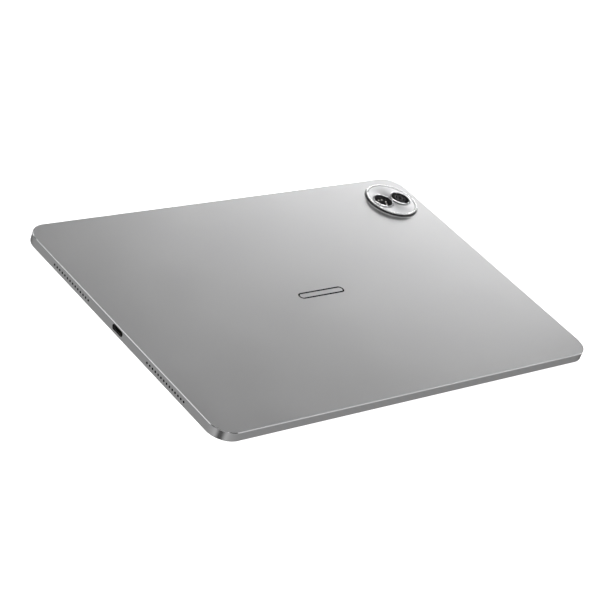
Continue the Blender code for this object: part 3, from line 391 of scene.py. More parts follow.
def fit(piece, body, slot, *nodes):
    """Fix a finished piece to a body, in place of CAD nodes. The slot is not used."""
    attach(piece, body)
    if nodes:
        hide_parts(*nodes)


housing_low, housing_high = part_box("rear_housing")
HOUSING_CORNER = 12.0 * MM
HOUSING_CHAMFER = 0.32 * MM
GLASS_RIM = 0.6 * MM
RIM_ROUND = 0.5 * MM
SHELF_LEVEL = 1.4 * MM
SIDE_WALL = 1.9 * MM
CAVITY_TOP = 5.0 * MM
BACK_LEVEL = housing_high.z

housing = add_block("housing_tray", housing_low, housing_high)
shape(housing,
      round_corners(2, HOUSING_CORNER, 32),
      break_edge(2, BACK_LEVEL, HOUSING_CHAMFER),
      break_edge(2, housing_low.z, RIM_ROUND, 4),
      sink(2, housing_low.z, GLASS_RIM - RIM_ROUND, SHELF_LEVEL - housing_low.z),
      sink(2, SHELF_LEVEL, SIDE_WALL - GLASS_RIM, CAVITY_TOP - SHELF_LEVEL))


def add_rod(name, middle, radius, length, axis, sides=24):
    """A round rod along an axis, ready to be shaped or to cut with."""
    turns = ((0, math.pi / 2, 0), (math.pi / 2, 0, 0), (0, 0, 0))
    bpy.ops.object.select_all(action="DESELECT")
    bpy.ops.mesh.primitive_cylinder_add(
        vertices=sides, radius=radius, depth=length, location=middle, rotation=turns[axis])
    return settle(name)


# speaker, microphone, port and button openings
MID_LEVEL = BACK_LEVEL / 2
HOLE_RADIUS = 0.64 * MM
HOLE_PITCH = 2.465 * MM
HOLES_PER_ROW = 14
HOLE_LENGTH = 5.0 * MM
HOLE_LEVEL = MID_LEVEL - 0.05 * MM
speaker_low, speaker_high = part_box("speaker_box_right_far")
SPEAKER_Y = (speaker_low.y + speaker_high.y) / 2
holes = []
for side_x in (-1, 1):
    for side_y in (-1, 1):
        for number in range(HOLES_PER_ROW):
            across = side_y * SPEAKER_Y + (number - (HOLES_PER_ROW - 1) / 2) * HOLE_PITCH
            holes.append(add_rod("hole", (side_x * housing_high.x, across, HOLE_LEVEL),
                                 HOLE_RADIUS, HOLE_LENGTH, 0))
MICROPHONE_X = -20.0 * MM
MICROPHONE_RADIUS = 0.4 * MM
holes.append(add_rod("hole", (MICROPHONE_X, housing_high.y, MID_LEVEL), MICROPHONE_RADIUS,
                     HOLE_LENGTH, 1))
cut(housing, [joined(holes)])

mouth_low, mouth_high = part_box("usb_shell")
MOUTH_MARGIN = 0.03 * MM
MOUTH_HALF = (mouth_high.z - mouth_low.z) / 2 + MOUTH_MARGIN
MOUTH_LEVEL = (mouth_low.z + mouth_high.z) / 2
mouth = add_block(
    "mouth", (housing_low.x - 1.0 * MM, mouth_low.y - MOUTH_MARGIN, mouth_low.z - MOUTH_MARGIN),
    (mouth_high.x, mouth_high.y + MOUTH_MARGIN, mouth_high.z + MOUTH_MARGIN))
shape(mouth, round_corners(0, MOUTH_HALF * 0.999, 12))
POCKET_MARGIN = 0.2 * MM
pocket = add_block(
    "pocket", (housing_low.x + 0.5 * MM, mouth_low.y - POCKET_MARGIN, mouth_low.z - POCKET_MARGIN),
    (mouth_high.x + 0.3 * MM, mouth_high.y + POCKET_MARGIN, mouth_high.z + POCKET_MARGIN))
shape(pocket, round_corners(0, (MOUTH_HALF - MOUTH_MARGIN + POCKET_MARGIN) * 0.999, 12))
cut(housing, [mouth, pocket])

BUTTON_HALF_HEIGHT = 1.0 * MM
SLOT_MARGIN = 0.3 * MM
POWER_Y = 70.0 * MM
POWER_HALF = 6.0 * MM
ROCKER_X = 96.3 * MM
ROCKER_HALF = 11.0 * MM
END_WALL = (134.0 * MM, 139.0 * MM)
LONG_WALL = (87.0 * MM, 92.0 * MM)
slot_half = BUTTON_HALF_HEIGHT + SLOT_MARGIN
power_slot = add_block(
    "power_slot", (END_WALL[0], POWER_Y - POWER_HALF - SLOT_MARGIN, MID_LEVEL - slot_half),
    (END_WALL[1], POWER_Y + POWER_HALF + SLOT_MARGIN, MID_LEVEL + slot_half))
shape(power_slot, round_corners(0, slot_half * 0.999, 10))
rocker_slot = add_block(
    "rocker_slot", (ROCKER_X - ROCKER_HALF - SLOT_MARGIN, LONG_WALL[0], MID_LEVEL - slot_half),
    (ROCKER_X + ROCKER_HALF + SLOT_MARGIN, LONG_WALL[1], MID_LEVEL + slot_half))
shape(rocker_slot, round_corners(1, slot_half * 0.999, 10))
cut(housing, [power_slot, rocker_slot])

# seat and opening under the camera island
ring_low, ring_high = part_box("camera_ring")
ISLAND = (ring_low + ring_high) / 2
ring_radius = (ring_high.x - ring_low.x) / 2
SEAT_MARGIN = 0.3 * MM
OPENING_HALF_X = 13.3 * MM
OPENING_HALF_Y = 5.0 * MM
seat = add_rod("seat", (ISLAND.x, ISLAND.y, BACK_LEVEL + 0.1 * MM), ring_radius + SEAT_MARGIN,
               1.0 * MM, 2, 128)
opening = add_block("opening", (ISLAND.x - OPENING_HALF_X, ISLAND.y - OPENING_HALF_Y, 4.0 * MM),
                    (ISLAND.x + OPENING_HALF_X, ISLAND.y + OPENING_HALF_Y, 7.0 * MM))
shape(opening, round_corners(2, 1.5 * MM, 6))
cut(housing, [seat, opening])

# screw bosses under both boards, drilled blind from the front
SCREWS = ("board_screw_1", "board_screw_2", "board_screw_3", "board_screw_4",
          "usb_board_screw_1", "usb_board_screw_2")
SCREW_SKIN = 0.4 * MM
BOSS_RADIUS = 1.8 * MM
BORE_RADIUS = 0.9 * MM
bosses = []
bores = []
for screw in SCREWS:
    low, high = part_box(screw)
    foot = low.z + (1.5 * MM if screw.startswith("board") else 1.8 * MM)
    top = BACK_LEVEL - SCREW_SKIN
    x, y = (low.x + high.x) / 2, (low.y + high.y) / 2
    bosses.append(add_rod("boss", (x, y, (foot + top) / 2), BOSS_RADIUS, top - foot, 2, 32))
    bores.append(add_rod("bore", (x, y, (foot - MM + top) / 2), BORE_RADIUS, top - foot + MM, 2))
cut(housing, [joined(bosses)], "UNION")
cut(housing, [joined(bores)])


FLAT_LOW = 0.4 * MM
FLAT_HIGH = 5.2 * MM
OPENING_BREAK = 0.06 * MM


def is_opening_edge(edge):
    """Edges where an opening in a side wall meets the outside face of the wall."""
    for axis, reach in ((0, housing_high.x), (1, housing_high.y)):
        if at(edge, axis, reach) or at(edge, axis, -reach):
            outside = [abs(face.normal[axis]) > 0.99 for face in edge.link_faces]
            within = all(FLAT_LOW < vert.co.z < FLAT_HIGH for vert in edge.verts)
            return within and any(outside) and not all(outside)
    return False


def break_openings(piece):
    pick(piece, "edges", is_opening_edge)
    bpy.ops.mesh.bevel(offset=OPENING_BREAK, segments=1, affect="EDGES", clamp_overlap=False)


shape(housing, break_openings)
smooth(housing)

blasted = Finish("anodised_aluminium", Metallic=1.0, Base_Color=(0.62, 0.62, 0.625))
fine = blasted.noise(0.16 * MM, 3.0, 0.6)
cloud = blasted.noise(30 * MM, 2.0)
blasted.drive(Roughness=0.26 + 0.04 * cloud + 0.06 * fine)
blasted.raise_by(fine, 0.004 * MM, 0.35)

diamond = Finish("diamond_cut_aluminium", Metallic=1.0, Base_Color=(0.86, 0.86, 0.87))
diamond.drive(Roughness=0.1 + 0.06 * diamond.noise(2 * MM, 3.0))
blasted.put_on(housing)
housing.data.materials.append(diamond.material)
for face in housing.data.polygons:
    if 0.5 < face.normal.z < 0.9 and face.center.z > BACK_LEVEL - HOUSING_CHAMFER:
        face.material_index = 1

# Painted shade: the walls inside the openings of both end walls are painted near black for the
# shade inside them.
shaded = Finish("unlit_bores", Roughness=0.9)
shaded.drive(Base_Color=shaded.blend(
    shaded.noise(0.2 * MM), (0.002, 0.002, 0.002), (0.006, 0.006, 0.006)))
shaded.shader.inputs["Specular IOR Level"].default_value = 0.05
housing.data.materials.append(shaded.material)
for face in housing.data.polygons:
    depth = housing_high.x - abs(face.center.x)
    if (0.12 * MM < depth < 2.5 * MM and abs(face.normal.x) < 0.3
            and abs(face.center.y) < 75 * MM and FLAT_LOW < face.center.z < FLAT_HIGH):
        face.material_index = 2
fit(housing, "chassis", "housing_aluminium", "rear_housing")

# ------------------------------------------------------------------ screen glass
# A sheet of hardened cover glass, ground round along its outer edge. A black
# border is printed on its inside; the panel shows a shade lighter behind it.
glass_low, glass_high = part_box("screen_glass")
glass = add_block("cover_glass", glass_low, glass_high)
shape(glass,
      round_corners(2, HOUSING_CORNER - (housing_high.x - glass_high.x), 32),
      break_edge(2, glass_low.z, 0.35 * MM, 5),
      break_edge(2, glass_high.z, 0.06 * MM))
smooth(glass)

LIT_HALF_X = 129.6 * MM
LIT_HALF_Y = 81.0 * MM


def lit_area(finish):
    """1 where the screen shows a picture, 0 on the border round it."""
    across_x, across_y, _ = finish.axes()
    return (abs(across_x) < LIT_HALF_X) * (abs(across_y) < LIT_HALF_Y)


def from_axis(finish, centre):
    """The place from an upright axis through a centre, and the distance from the axis."""
    offset = finish.place.node("Mapping", {}, {
        "Vector": finish.place, "Location": (-centre[0], -centre[1], 0.0)})
    flat = offset.node("VectorMath", {"operation": "MULTIPLY"}, {0: offset, 1: (1.0, 1.0, 0.0)})
    return offset, flat.node("VectorMath", {"operation": "LENGTH"}, {0: flat}, 1)


cover = Finish("printed_cover_glass", IOR=1.52, Coat_Weight=1.0, Coat_Roughness=0.02)
camera_low, camera_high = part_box("front_camera")
CAMERA_DOT = (camera_low + camera_high) / 2
_, from_dot = from_axis(cover, CAMERA_DOT)
ring = (from_dot > 1.25 * MM) * (from_dot < 1.6 * MM)
pupil = from_dot < 0.6 * MM
smear = cover.noise(25 * MM, 4.0, 0.6)
print_and_painted_glint_rings = cover.blend(lit_area(cover), (0.004, 0.004, 0.005), (0.011, 0.012, 0.015))
print_and_painted_glint_rings = cover.blend(ring, print_and_painted_glint_rings, (0.05, 0.05, 0.055))
print_and_painted_glint_rings = cover.blend(pupil, print_and_painted_glint_rings, (0.01, 0.012, 0.03))
cover.drive(Base_Color=print_and_painted_glint_rings, Roughness=0.03 + 0.05 * smear)
cover.put_on(glass)
fit(glass, "chassis", "screen_glass", "screen_glass")

# ------------------------------------------------------------------ screen seal
# A closed frame of black foam tape between the cover glass and the housing's
# shelf. It keeps dust out and holds the glass down.
seal_low, seal_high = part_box("screen_seal")
SEAL_WIDTH = 1.0 * MM
seal = add_block("foam_seal", seal_low, seal_high)
shape(seal, round_corners(2, 11.1 * MM, 24), break_edge(2, seal_low.z, 0.05 * MM, 2),
      break_edge(2, seal_high.z, 0.05 * MM, 2))
hollow = add_block(
    "seal_inside",
    (seal_low.x + SEAL_WIDTH, seal_low.y + SEAL_WIDTH, seal_low.z - MM),
    (seal_high.x - SEAL_WIDTH, seal_high.y - SEAL_WIDTH, seal_high.z + MM))
shape(hollow, round_corners(2, 10.1 * MM, 24))
cut(seal, [hollow])
smooth(seal)
foam = Finish("foam_tape", Roughness=0.9)
cells = foam.noise(0.12 * MM, 3.0, 0.7)
foam.drive(Base_Color=foam.blend(cells, (0.008, 0.008, 0.008), (0.03, 0.03, 0.03)))
foam.raise_by(cells, 0.03 * MM, 0.8).put_on(seal)
fit(seal, "chassis", "seal_rubber", "screen_seal")

# ------------------------------------------------------------------ camera ring
# Turned from solid steel: a low foot, a steep wall with a painted reflection (a black band
# and a fine grey line), and a bright round lip. The plate is glued on a ledge inside it.


def add_turned(name, centre, profile, sides=128):
    """A closed turned piece: a circle is extruded along its profile of (radius, height)."""
    radius, height = profile[0]
    bpy.ops.object.select_all(action="DESELECT")
    bpy.ops.mesh.primitive_circle_add(
        vertices=sides, radius=radius, fill_type="NOTHING", location=(*centre, height))
    piece = settle(name)

    def turn(piece):
        bpy.ops.mesh.select_all(action="SELECT")
        here = profile[0]
        for point in [*profile[1:], profile[0]]:
            bpy.ops.mesh.extrude_edges_move(
                TRANSFORM_OT_translate={"value": (0, 0, point[1] - here[1])})
            if point[0] != here[0]:
                grow = point[0] / here[0]
                bpy.ops.transform.resize(value=(grow, grow, 1.0), center_override=(*centre, 0))
            here = point
        bpy.ops.mesh.select_all(action="SELECT")
        bpy.ops.mesh.remove_doubles(threshold=0.001 * MM)
        bpy.ops.mesh.normals_make_consistent(inside=False)
    return shape(piece, turn)


def round_ring(centre, radius, height, width, segments=4):
    """A step: round the circular edge of a turned piece at one radius and height."""
    def on_ring(vert):
        reach = (vert.co.xy - Vector(centre)).length
        return abs(reach - radius) < 0.02 * MM and abs(vert.co.z - height) < 0.02 * MM

    def step(piece):
        pick(piece, "edges", lambda edge: all(on_ring(vert) for vert in edge.verts))
        bpy.ops.mesh.bevel(offset=width, segments=segments, affect="EDGES", clamp_overlap=False)
    return step


island = (ISLAND.x, ISLAND.y)
FOOT_TOP = BACK_LEVEL + 0.3 * MM
WALL_RADIUS = ring_radius - 0.35 * MM
POCKET_RADIUS = ring_radius - 1.7 * MM
LEDGE_LEVEL = BACK_LEVEL + 0.7 * MM
LIP_RADIUS = POCKET_RADIUS + 0.95 * MM
CONE_TOP = ring_high.z - 0.45 * MM
ring_piece = add_turned("island_ring", island, (
    (ring_radius, ring_low.z), (ring_radius, FOOT_TOP), (WALL_RADIUS, FOOT_TOP),
    (LIP_RADIUS, CONE_TOP), (LIP_RADIUS - 0.1 * MM, ring_high.z), (POCKET_RADIUS, ring_high.z),
    (POCKET_RADIUS, LEDGE_LEVEL),
    (POCKET_RADIUS - 2.1 * MM, LEDGE_LEVEL), (POCKET_RADIUS - 2.1 * MM, ring_low.z)))
shape(ring_piece,
      round_ring(island, ring_radius, FOOT_TOP, 0.12 * MM, 3),
      round_ring(island, WALL_RADIUS, FOOT_TOP, 0.1 * MM, 3),
      round_ring(island, LIP_RADIUS - 0.1 * MM, ring_high.z, 0.35 * MM, 6),
      round_ring(island, POCKET_RADIUS, ring_high.z, 0.3 * MM, 5))
smooth(ring_piece, 35)
mirror = Finish("mirror_polished_steel", Metallic=1.0, Base_Color=(0.84, 0.84, 0.85))
mirror.drive(Roughness=0.05 + 0.05 * mirror.noise(1.5 * MM, 4.0, 0.6))
mirror.raise_by(mirror.noise(0.4 * MM, 2.0), 0.002 * MM, 0.15)
banded = Finish("steel_painted_reflection_bands", Metallic=1.0)
_, _, up = banded.axes()
# Painted reflection: the black band and its fine grey line on the steep wall stand in for the dark
# studio mirrored in the polished steel.
painted_dark_reflection_band = (up > FOOT_TOP + 0.02 * MM) * (up < CONE_TOP + 0.1 * MM)
painted_grey_reflection_line = (up > FOOT_TOP + 0.18 * MM) * (up < FOOT_TOP + 0.3 * MM)
lip_part = up > CONE_TOP + 0.1 * MM
banded.drive(
    Base_Color=banded.blend(painted_dark_reflection_band * (1.0 - 0.6 * painted_grey_reflection_line), (0.93, 0.93, 0.93),
                            (0.015, 0.015, 0.016)),
    Roughness=0.07 + 0.13 * lip_part + 0.05 * banded.noise(1.5 * MM, 4.0, 0.6))
banded.put_on(ring_piece)
ring_piece.visible_glossy = False
ring_piece.visible_shadow = False
fit(ring_piece, "chassis", "polished_metal", "camera_ring")

# ------------------------------------------------------------------ camera plate
# A thin disc of steel, brushed in circles on a turntable, with two dark sectors of painted
# reflection across it. Two holes are bored for the lens rims.
plate_low, plate_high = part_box("camera_plate")
plate_radius = (plate_high.x - plate_low.x) / 2
LENS_PLACES = {}
for use in ("main", "flash"):
    low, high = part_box(f"lens_rim_{use}")
    LENS_PLACES[use] = ((low.x + high.x) / 2, (low.y + high.y) / 2)
rim_low, rim_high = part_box("lens_rim_main")
RIM_RADIUS = (rim_high.x - rim_low.x) / 2
plate_piece = add_rod("brushed_plate", (*island, (plate_low.z + plate_high.z) / 2),
                      plate_radius, plate_high.z - plate_low.z, 2, 128)
cut(plate_piece, [add_rod("lens_hole", (*place, plate_low.z), RIM_RADIUS + 0.3 * MM, 3 * MM, 2, 96)
                  for place in LENS_PLACES.values()])
shape(plate_piece, break_edge(2, plate_high.z, 0.1 * MM, 2))
smooth(plate_piece)
brushed = Finish("circle_brushed_steel", Metallic=1.0)
on_plate, from_middle = from_axis(brushed, island)
tone = brushed.place.node("TexNoise", {"noise_dimensions": "1D"}, {
    "W": from_middle * (1 / (0.12 * MM)), "Scale": 1.0, "Detail": 2.0})
across = abs(on_plate.node("SeparateXYZ", {}, {0: on_plate}, 1))
# Painted reflection: two dark sectors across the plate, darkest by the middle and fading outwards,
# stand in for the light and dark sectors of a spun finish.
painted_reflection_sector = brushed.place.math(
    "SMOOTH_MIN", (across / (from_middle + 0.01 * MM) - 0.66) * 3.0, 1.0, 0.2)
painted_reflection_sector = brushed.place.math("MAXIMUM", painted_reflection_sector, 0.0)
painted_sector_fade = brushed.place.math("MAXIMUM", 1.0 - from_middle * (0.75 / plate_radius), 0.0)
silver = brushed.blend(tone, (0.76, 0.76, 0.77), (0.84, 0.84, 0.85))
brushed.drive(Base_Color=brushed.blend(painted_reflection_sector * painted_sector_fade, silver, (0.10, 0.10, 0.105)),
              Roughness=0.27 + 0.06 * tone)
brushed.raise_by(tone, 0.002 * MM, 0.1).put_on(plate_piece)
fit(plate_piece, "chassis", "brushed_metal", "camera_plate")

# ------------------------------------------------------------------ lens rims
# Two bright turned rims stand in the plate's holes. Each has a ledge inside for
# its window and a narrow polished top.
RIM_WALL = 0.85 * MM
RIM_LEDGE_WIDTH = 0.75 * MM
RIM_LEDGE = 0.3 * MM
bore = RIM_RADIUS - RIM_WALL
for use, place in LENS_PLACES.items():
    rim = add_turned(f"lens_rim_{use}_turned", place, (
        (RIM_RADIUS, rim_low.z), (RIM_RADIUS, rim_high.z), (bore, rim_high.z),
        (bore, rim_low.z + RIM_LEDGE), (bore - RIM_LEDGE_WIDTH, rim_low.z + RIM_LEDGE),
        (bore - RIM_LEDGE_WIDTH, rim_low.z)), 96)
    shape(rim, round_ring(place, RIM_RADIUS, rim_high.z, 0.25 * MM, 5),
          round_ring(place, bore, rim_high.z, 0.12 * MM, 3))
    smooth(rim, 35)
    mirror.put_on(rim)
    fit(rim, "chassis", "polished_metal", f"lens_rim_{use}")

# ------------------------------------------------------------------ lens windows
# Round panes of coated glass glued on the rims' ledges: black round the edge and
# tinted in the middle. The main one has two fine grey rings of painted reflection, with painted
# glints, over the lens.
window_low, window_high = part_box("lens_window_main")
window_radius = (window_high.x - window_low.x) / 2
for use, place in LENS_PLACES.items():
    window = add_rod(f"pane_{use}", (*place, (window_low.z + window_high.z) / 2),
                     window_radius, window_high.z - window_low.z, 2, 96)
    shape(window, break_edge(2, window_high.z, 0.05 * MM, 2),
          break_edge(2, window_low.z, 0.05 * MM, 2),
          sink(2, window_low.z, 1.0 * MM, 0.01 * MM))
    smooth(window)
    glazing = Finish(f"pane_glass_{use}", IOR=1.5)
    _, reach = from_axis(glazing, place)
    clear = reach < (4.3 * MM if use == "main" else 5.0 * MM)
    if use == "main":
        # Painted reflection: two fine grey rings over the lens, broken into painted glints, stand
        # in for the lens rings below catching the light.
        print_and_painted_glint_rings = ((reach > 1.55 * MM) * (reach < 1.8 * MM)
                   + (reach > 3.1 * MM) * (reach < 3.3 * MM))
        painted_glints = glazing.noise(1.6 * MM) > 0.5
        glazing.drive(
            Base_Color=glazing.blend(print_and_painted_glint_rings * (0.3 + 0.7 * painted_glints), (0.004, 0.004, 0.005),
                                     (0.5, 0.5, 0.52)),
            Alpha=1.0 - 0.25 * clear * (1 - print_and_painted_glint_rings))
    else:
        glazing.drive(
            Base_Color=glazing.blend(clear, (0.006, 0.006, 0.007), (0.003, 0.003, 0.003)),
            Alpha=1.0 - 0.3 * clear)
    glazing.drive(Roughness=0.02 + 0.02 * glazing.noise(2 * MM))
    glazing.shader.inputs["Specular IOR Level"].default_value = 0.2
    glazing.put_on(window)
    fit(window, "chassis", "lens_glass", f"lens_window_{use}")

# ------------------------------------------------------------------ camera module
# A moulded block with a sensor under it and a bore for the lens barrel, which
# a coil lifts to focus.
camera_low, camera_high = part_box("main_camera")
main = LENS_PLACES["main"]
block_piece = add_block("camera_block", camera_low, camera_high)
shape(block_piece, round_corners(2, 0.7 * MM, 5), break_edge(2, camera_high.z, 0.25 * MM, 2))
cut(block_piece, [add_rod("block_bore", (*main, 5.0 * MM + camera_low.z + 0.9 * MM), 3.5 * MM,
                          10.0 * MM, 2, 96)])
smooth(block_piece)
moulded = Finish("black_moulding")
pores = moulded.noise(0.25 * MM, 3.0, 0.6)
moulded.mottle(pores, (0.012, 0.012, 0.013), (0.028, 0.028, 0.03), 0.42, 0.2)
moulded.raise_by(pores, 0.01 * MM, 0.4).put_on(block_piece)
fit(block_piece, "chassis", "black_plastic", "main_camera")

# ------------------------------------------------------------------ focus barrel
# The lens barrel: stepped black baffles round a stack of coated lenses. It
# slides up and down in the camera block.
barrel_low, barrel_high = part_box("focus_barrel")
barrel_radius = (barrel_high.x - barrel_low.x) / 2
GLASS_RADIUS = 1.5 * MM
barrel = add_turned("lens_barrel", main, (
    (barrel_radius, barrel_low.z), (barrel_radius, barrel_high.z),
    (barrel_radius - 0.35 * MM, barrel_high.z),
    (barrel_radius - 0.45 * MM, barrel_high.z - 0.2 * MM),
    (barrel_radius - 0.85 * MM, barrel_high.z - 0.2 * MM),
    (barrel_radius - 0.95 * MM, barrel_high.z - 0.4 * MM),
    (barrel_radius - 1.35 * MM, barrel_high.z - 0.4 * MM),
    (barrel_radius - 1.45 * MM, barrel_high.z - 0.6 * MM),
    (GLASS_RADIUS, barrel_high.z - 0.6 * MM), (GLASS_RADIUS, barrel_high.z - 1.0 * MM),
    (0.2 * MM, barrel_high.z - 1.0 * MM), (0.2 * MM, barrel_low.z)), 96)
smooth(barrel)
baffle = Finish("barrel_baffles", Metallic=0.8)
_, reach = from_axis(baffle, main)
# Painted highlight: thin bright rings every half millimetre stand in for the step edges of the
# baffles catching the light.
painted_lip_highlights = baffle.waves(reach, 0.5 * MM) > 0.8
baffle.drive(Base_Color=baffle.blend(painted_lip_highlights, (0.01, 0.01, 0.011), (0.6, 0.6, 0.63)),
             Roughness=0.2 + 0.1 * baffle.noise(0.1 * MM)).put_on(barrel)
fit(barrel, "focus_barrel", "black_plastic", "focus_barrel")

bpy.ops.object.select_all(action="DESELECT")
bpy.ops.mesh.primitive_uv_sphere_add(
    segments=64, ring_count=32, radius=GLASS_RADIUS * 0.98,
    location=(*main, barrel_high.z - 1.0 * MM))
front_lens = settle("front_lens")
shape(front_lens, lambda piece: (
    bpy.ops.mesh.select_all(action="SELECT"),
    bpy.ops.mesh.bisect(plane_co=(*main, barrel_high.z - 0.99 * MM), plane_no=(0, 0, 1),
                        clear_inner=True, use_fill=True),
    bpy.ops.mesh.select_all(action="SELECT"),
    bpy.ops.transform.resize(value=(1.0, 1.0, 0.45),
                             center_override=(*main, barrel_high.z - 0.99 * MM))))
smooth(front_lens)
coated = Finish("coated_lens", Roughness=0.02, IOR=1.7, Coat_Weight=1.0, Coat_Roughness=0.01)
# Painted sheen: the lens colour goes from deep blue to a lighter blue as the surface turns away
# from the view.
painted_coating_sheen = coated.place.node("LayerWeight", {}, {"Blend": 0.35}, 1)
coated.drive(Base_Color=coated.blend(painted_coating_sheen, (0.004, 0.006, 0.02), (0.03, 0.05, 0.12)))
coated.put_on(front_lens)
fit(front_lens, "focus_barrel", "lens_glass")

# ------------------------------------------------------------------ flash module
# A small black board under the second window, with six lamps soldered on it in a
# ring.
flash_low, flash_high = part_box("flash_module")
flash = LENS_PLACES["flash"]
FLASH_BOARD_TOP = flash_high.z - 0.32 * MM
LAMP_RING = 2.7 * MM
LAMP_COUNT = 6
LAMP_RADIUS = 0.42 * MM
flash_board = add_block("flash_board", flash_low, (flash_high.x, flash_high.y, FLASH_BOARD_TOP))
shape(flash_board, round_corners(2, 1.0 * MM, 5), break_edge(2, FLASH_BOARD_TOP, 0.08 * MM, 2))
smooth(flash_board)
moulded.put_on(flash_board)
fit(flash_board, "chassis", "chip_epoxy", "flash_module")
# Painted glow: the six lamps glow on their own, though the flash is not firing, so that they show
# as bright dots.
painted_lamp_glow = Finish("lamp_phosphor_painted_glow", Base_Color=(0.9, 0.88, 0.75), Coat_Weight=0.6,
                   Emission_Color=(1.0, 0.97, 0.92), Emission_Strength=9.0)
painted_lamp_glow.drive(Roughness=0.2 + 0.2 * painted_lamp_glow.noise(0.1 * MM))
lamps = []
for number in range(LAMP_COUNT):
    angle = math.tau * number / LAMP_COUNT
    x = flash[0] + LAMP_RING * math.cos(angle)
    y = flash[1] + LAMP_RING * math.sin(angle)
    lamp = add_rod("lamp", (x, y, FLASH_BOARD_TOP + 0.14 * MM), LAMP_RADIUS, 0.3 * MM, 2, 24)
    shape(lamp, break_edge(2, FLASH_BOARD_TOP + 0.29 * MM, 0.2 * MM, 4))
    lamps.append(lamp)
lamps = joined(lamps, "flash_lamps")
smooth(lamps)
painted_lamp_glow.put_on(lamps)
fit(lamps, "chassis", "lens_glass")

# ------------------------------------------------------------------ charging port
# A drawn steel shell closed at the back, pressed in behind the mouth. A plastic
# tongue inside carries twelve gold contacts a side.
shell_low, shell_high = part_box("usb_shell")
SHELL_SKIN = 0.3 * MM
half_height = (shell_high.z - shell_low.z) / 2
shell = add_block("port_shell", shell_low, shell_high)
shape(shell, round_corners(0, half_height * 0.999, 12))
inside = add_block(
    "shell_inside", (shell_low.x - MM, shell_low.y + SHELL_SKIN, shell_low.z + SHELL_SKIN),
    (shell_high.x - SHELL_SKIN, shell_high.y - SHELL_SKIN, shell_high.z - SHELL_SKIN))
shape(inside, round_corners(0, (half_height - SHELL_SKIN) * 0.999, 12))
cut(shell, [inside])
shape(shell, break_edge(0, shell_low.x, 0.08 * MM, 2))
smooth(shell)
drawn = Finish("drawn_steel", Metallic=1.0, Base_Color=(0.55, 0.55, 0.56))
lines = drawn.noise(0.08 * MM, squeeze=(0.1, 1.0, 1.0))
drawn.drive(Roughness=0.22 + 0.14 * lines)
drawn.raise_by(lines, 0.003 * MM, 0.3).put_on(shell)
fit(shell, "chassis", "socket_steel", "usb_shell")

tongue_low, tongue_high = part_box("usb_tongue")
tongue = add_block("port_tongue", tongue_low, tongue_high)
shape(tongue, round_corners(2, 0.5 * MM, 5), break_edge(0, tongue_low.x, 0.12 * MM, 2))
smooth(tongue)
moulded.put_on(tongue)
fit(tongue, "chassis", "black_plastic", "usb_tongue")

CONTACT_PITCH = 0.5 * MM
CONTACTS_PER_SIDE = 12
CONTACT_LENGTH = min(2.4 * MM, 0.7 * (tongue_high.x - tongue_low.x))
CONTACT_HALF_WIDTH = 0.13 * MM
CONTACT_HALF_DEPTH = 0.03 * MM
contact_x = tongue_low.x + 0.35 * MM
tongue_y = (tongue_low.y + tongue_high.y) / 2
contacts = []
for number in range(CONTACTS_PER_SIDE):
    middle_y = tongue_y + (number - (CONTACTS_PER_SIDE - 1) / 2) * CONTACT_PITCH
    for face_z in (tongue_low.z, tongue_high.z):
        contact = add_block(
            "contact",
            (contact_x, middle_y - CONTACT_HALF_WIDTH, face_z - CONTACT_HALF_DEPTH),
            (contact_x + CONTACT_LENGTH, middle_y + CONTACT_HALF_WIDTH,
             face_z + CONTACT_HALF_DEPTH))
        contacts.append(shape(contact, break_edge(0, contact_x, 0.02 * MM)))
contacts = joined(contacts, "port_contacts")
smooth(contacts)
gilded = Finish("gilded_contacts", Metallic=1.0)
wiped = gilded.noise(0.3 * MM, 3.0)
gilded.mottle(wiped, (0.80, 0.62, 0.30), (0.90, 0.74, 0.44), 0.18, 0.12).put_on(contacts)
fit(contacts, "chassis", "socket_steel")

# ------------------------------------------------------------------ power button
# Milled from the same aluminium as the housing, with a crowned face and a flange
# behind the wall that keeps it from falling out.
flange_low, button_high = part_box("power_button")
FLANGE_TOP = 135.1 * MM


def add_button(name, low, high, axis, flange_top, half_length, centre):
    """A round-ended key with a crowned face, standing on a flat flange."""
    end = list(high)
    end[axis] = flange_top
    flange = add_block(name, low, end)
    shape(flange, round_corners(axis, 0.5 * MM, 4))
    reach = [half_length if turn == 1 - axis else BUTTON_HALF_HEIGHT for turn in range(3)]
    key_low = [middle - half for middle, half in zip(centre, reach)]
    key_high = [middle + half for middle, half in zip(centre, reach)]
    key_low[axis] = flange_top - 0.3 * MM
    key_high[axis] = high[axis]
    key = add_block("key", key_low, key_high)
    shape(key, round_corners(axis, BUTTON_HALF_HEIGHT * 0.999, 10),
          break_edge(axis, high[axis], 0.3 * MM, 5))
    cut(flange, [key], "UNION")
    smooth(flange)
    return flange


power = add_button("power_key", flange_low, button_high, 0, FLANGE_TOP, POWER_HALF,
                   (0.0, POWER_Y, MID_LEVEL))
blasted.put_on(power)
fit(power, "power_button", "button_aluminium", "power_button")

# ------------------------------------------------------------------ volume rocker
# One key for louder and softer, made like the power button. It rocks on the
# middle of its flange.
flange_low, button_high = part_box("volume_rocker")
ROCKER_FLANGE_TOP = 88.1 * MM
rocker = add_button("volume_key", flange_low, button_high, 1, ROCKER_FLANGE_TOP, ROCKER_HALF,
                    (ROCKER_X, 0.0, MID_LEVEL))
blasted.put_on(rocker)
fit(rocker, "volume_rocker", "button_aluminium", "volume_rocker")

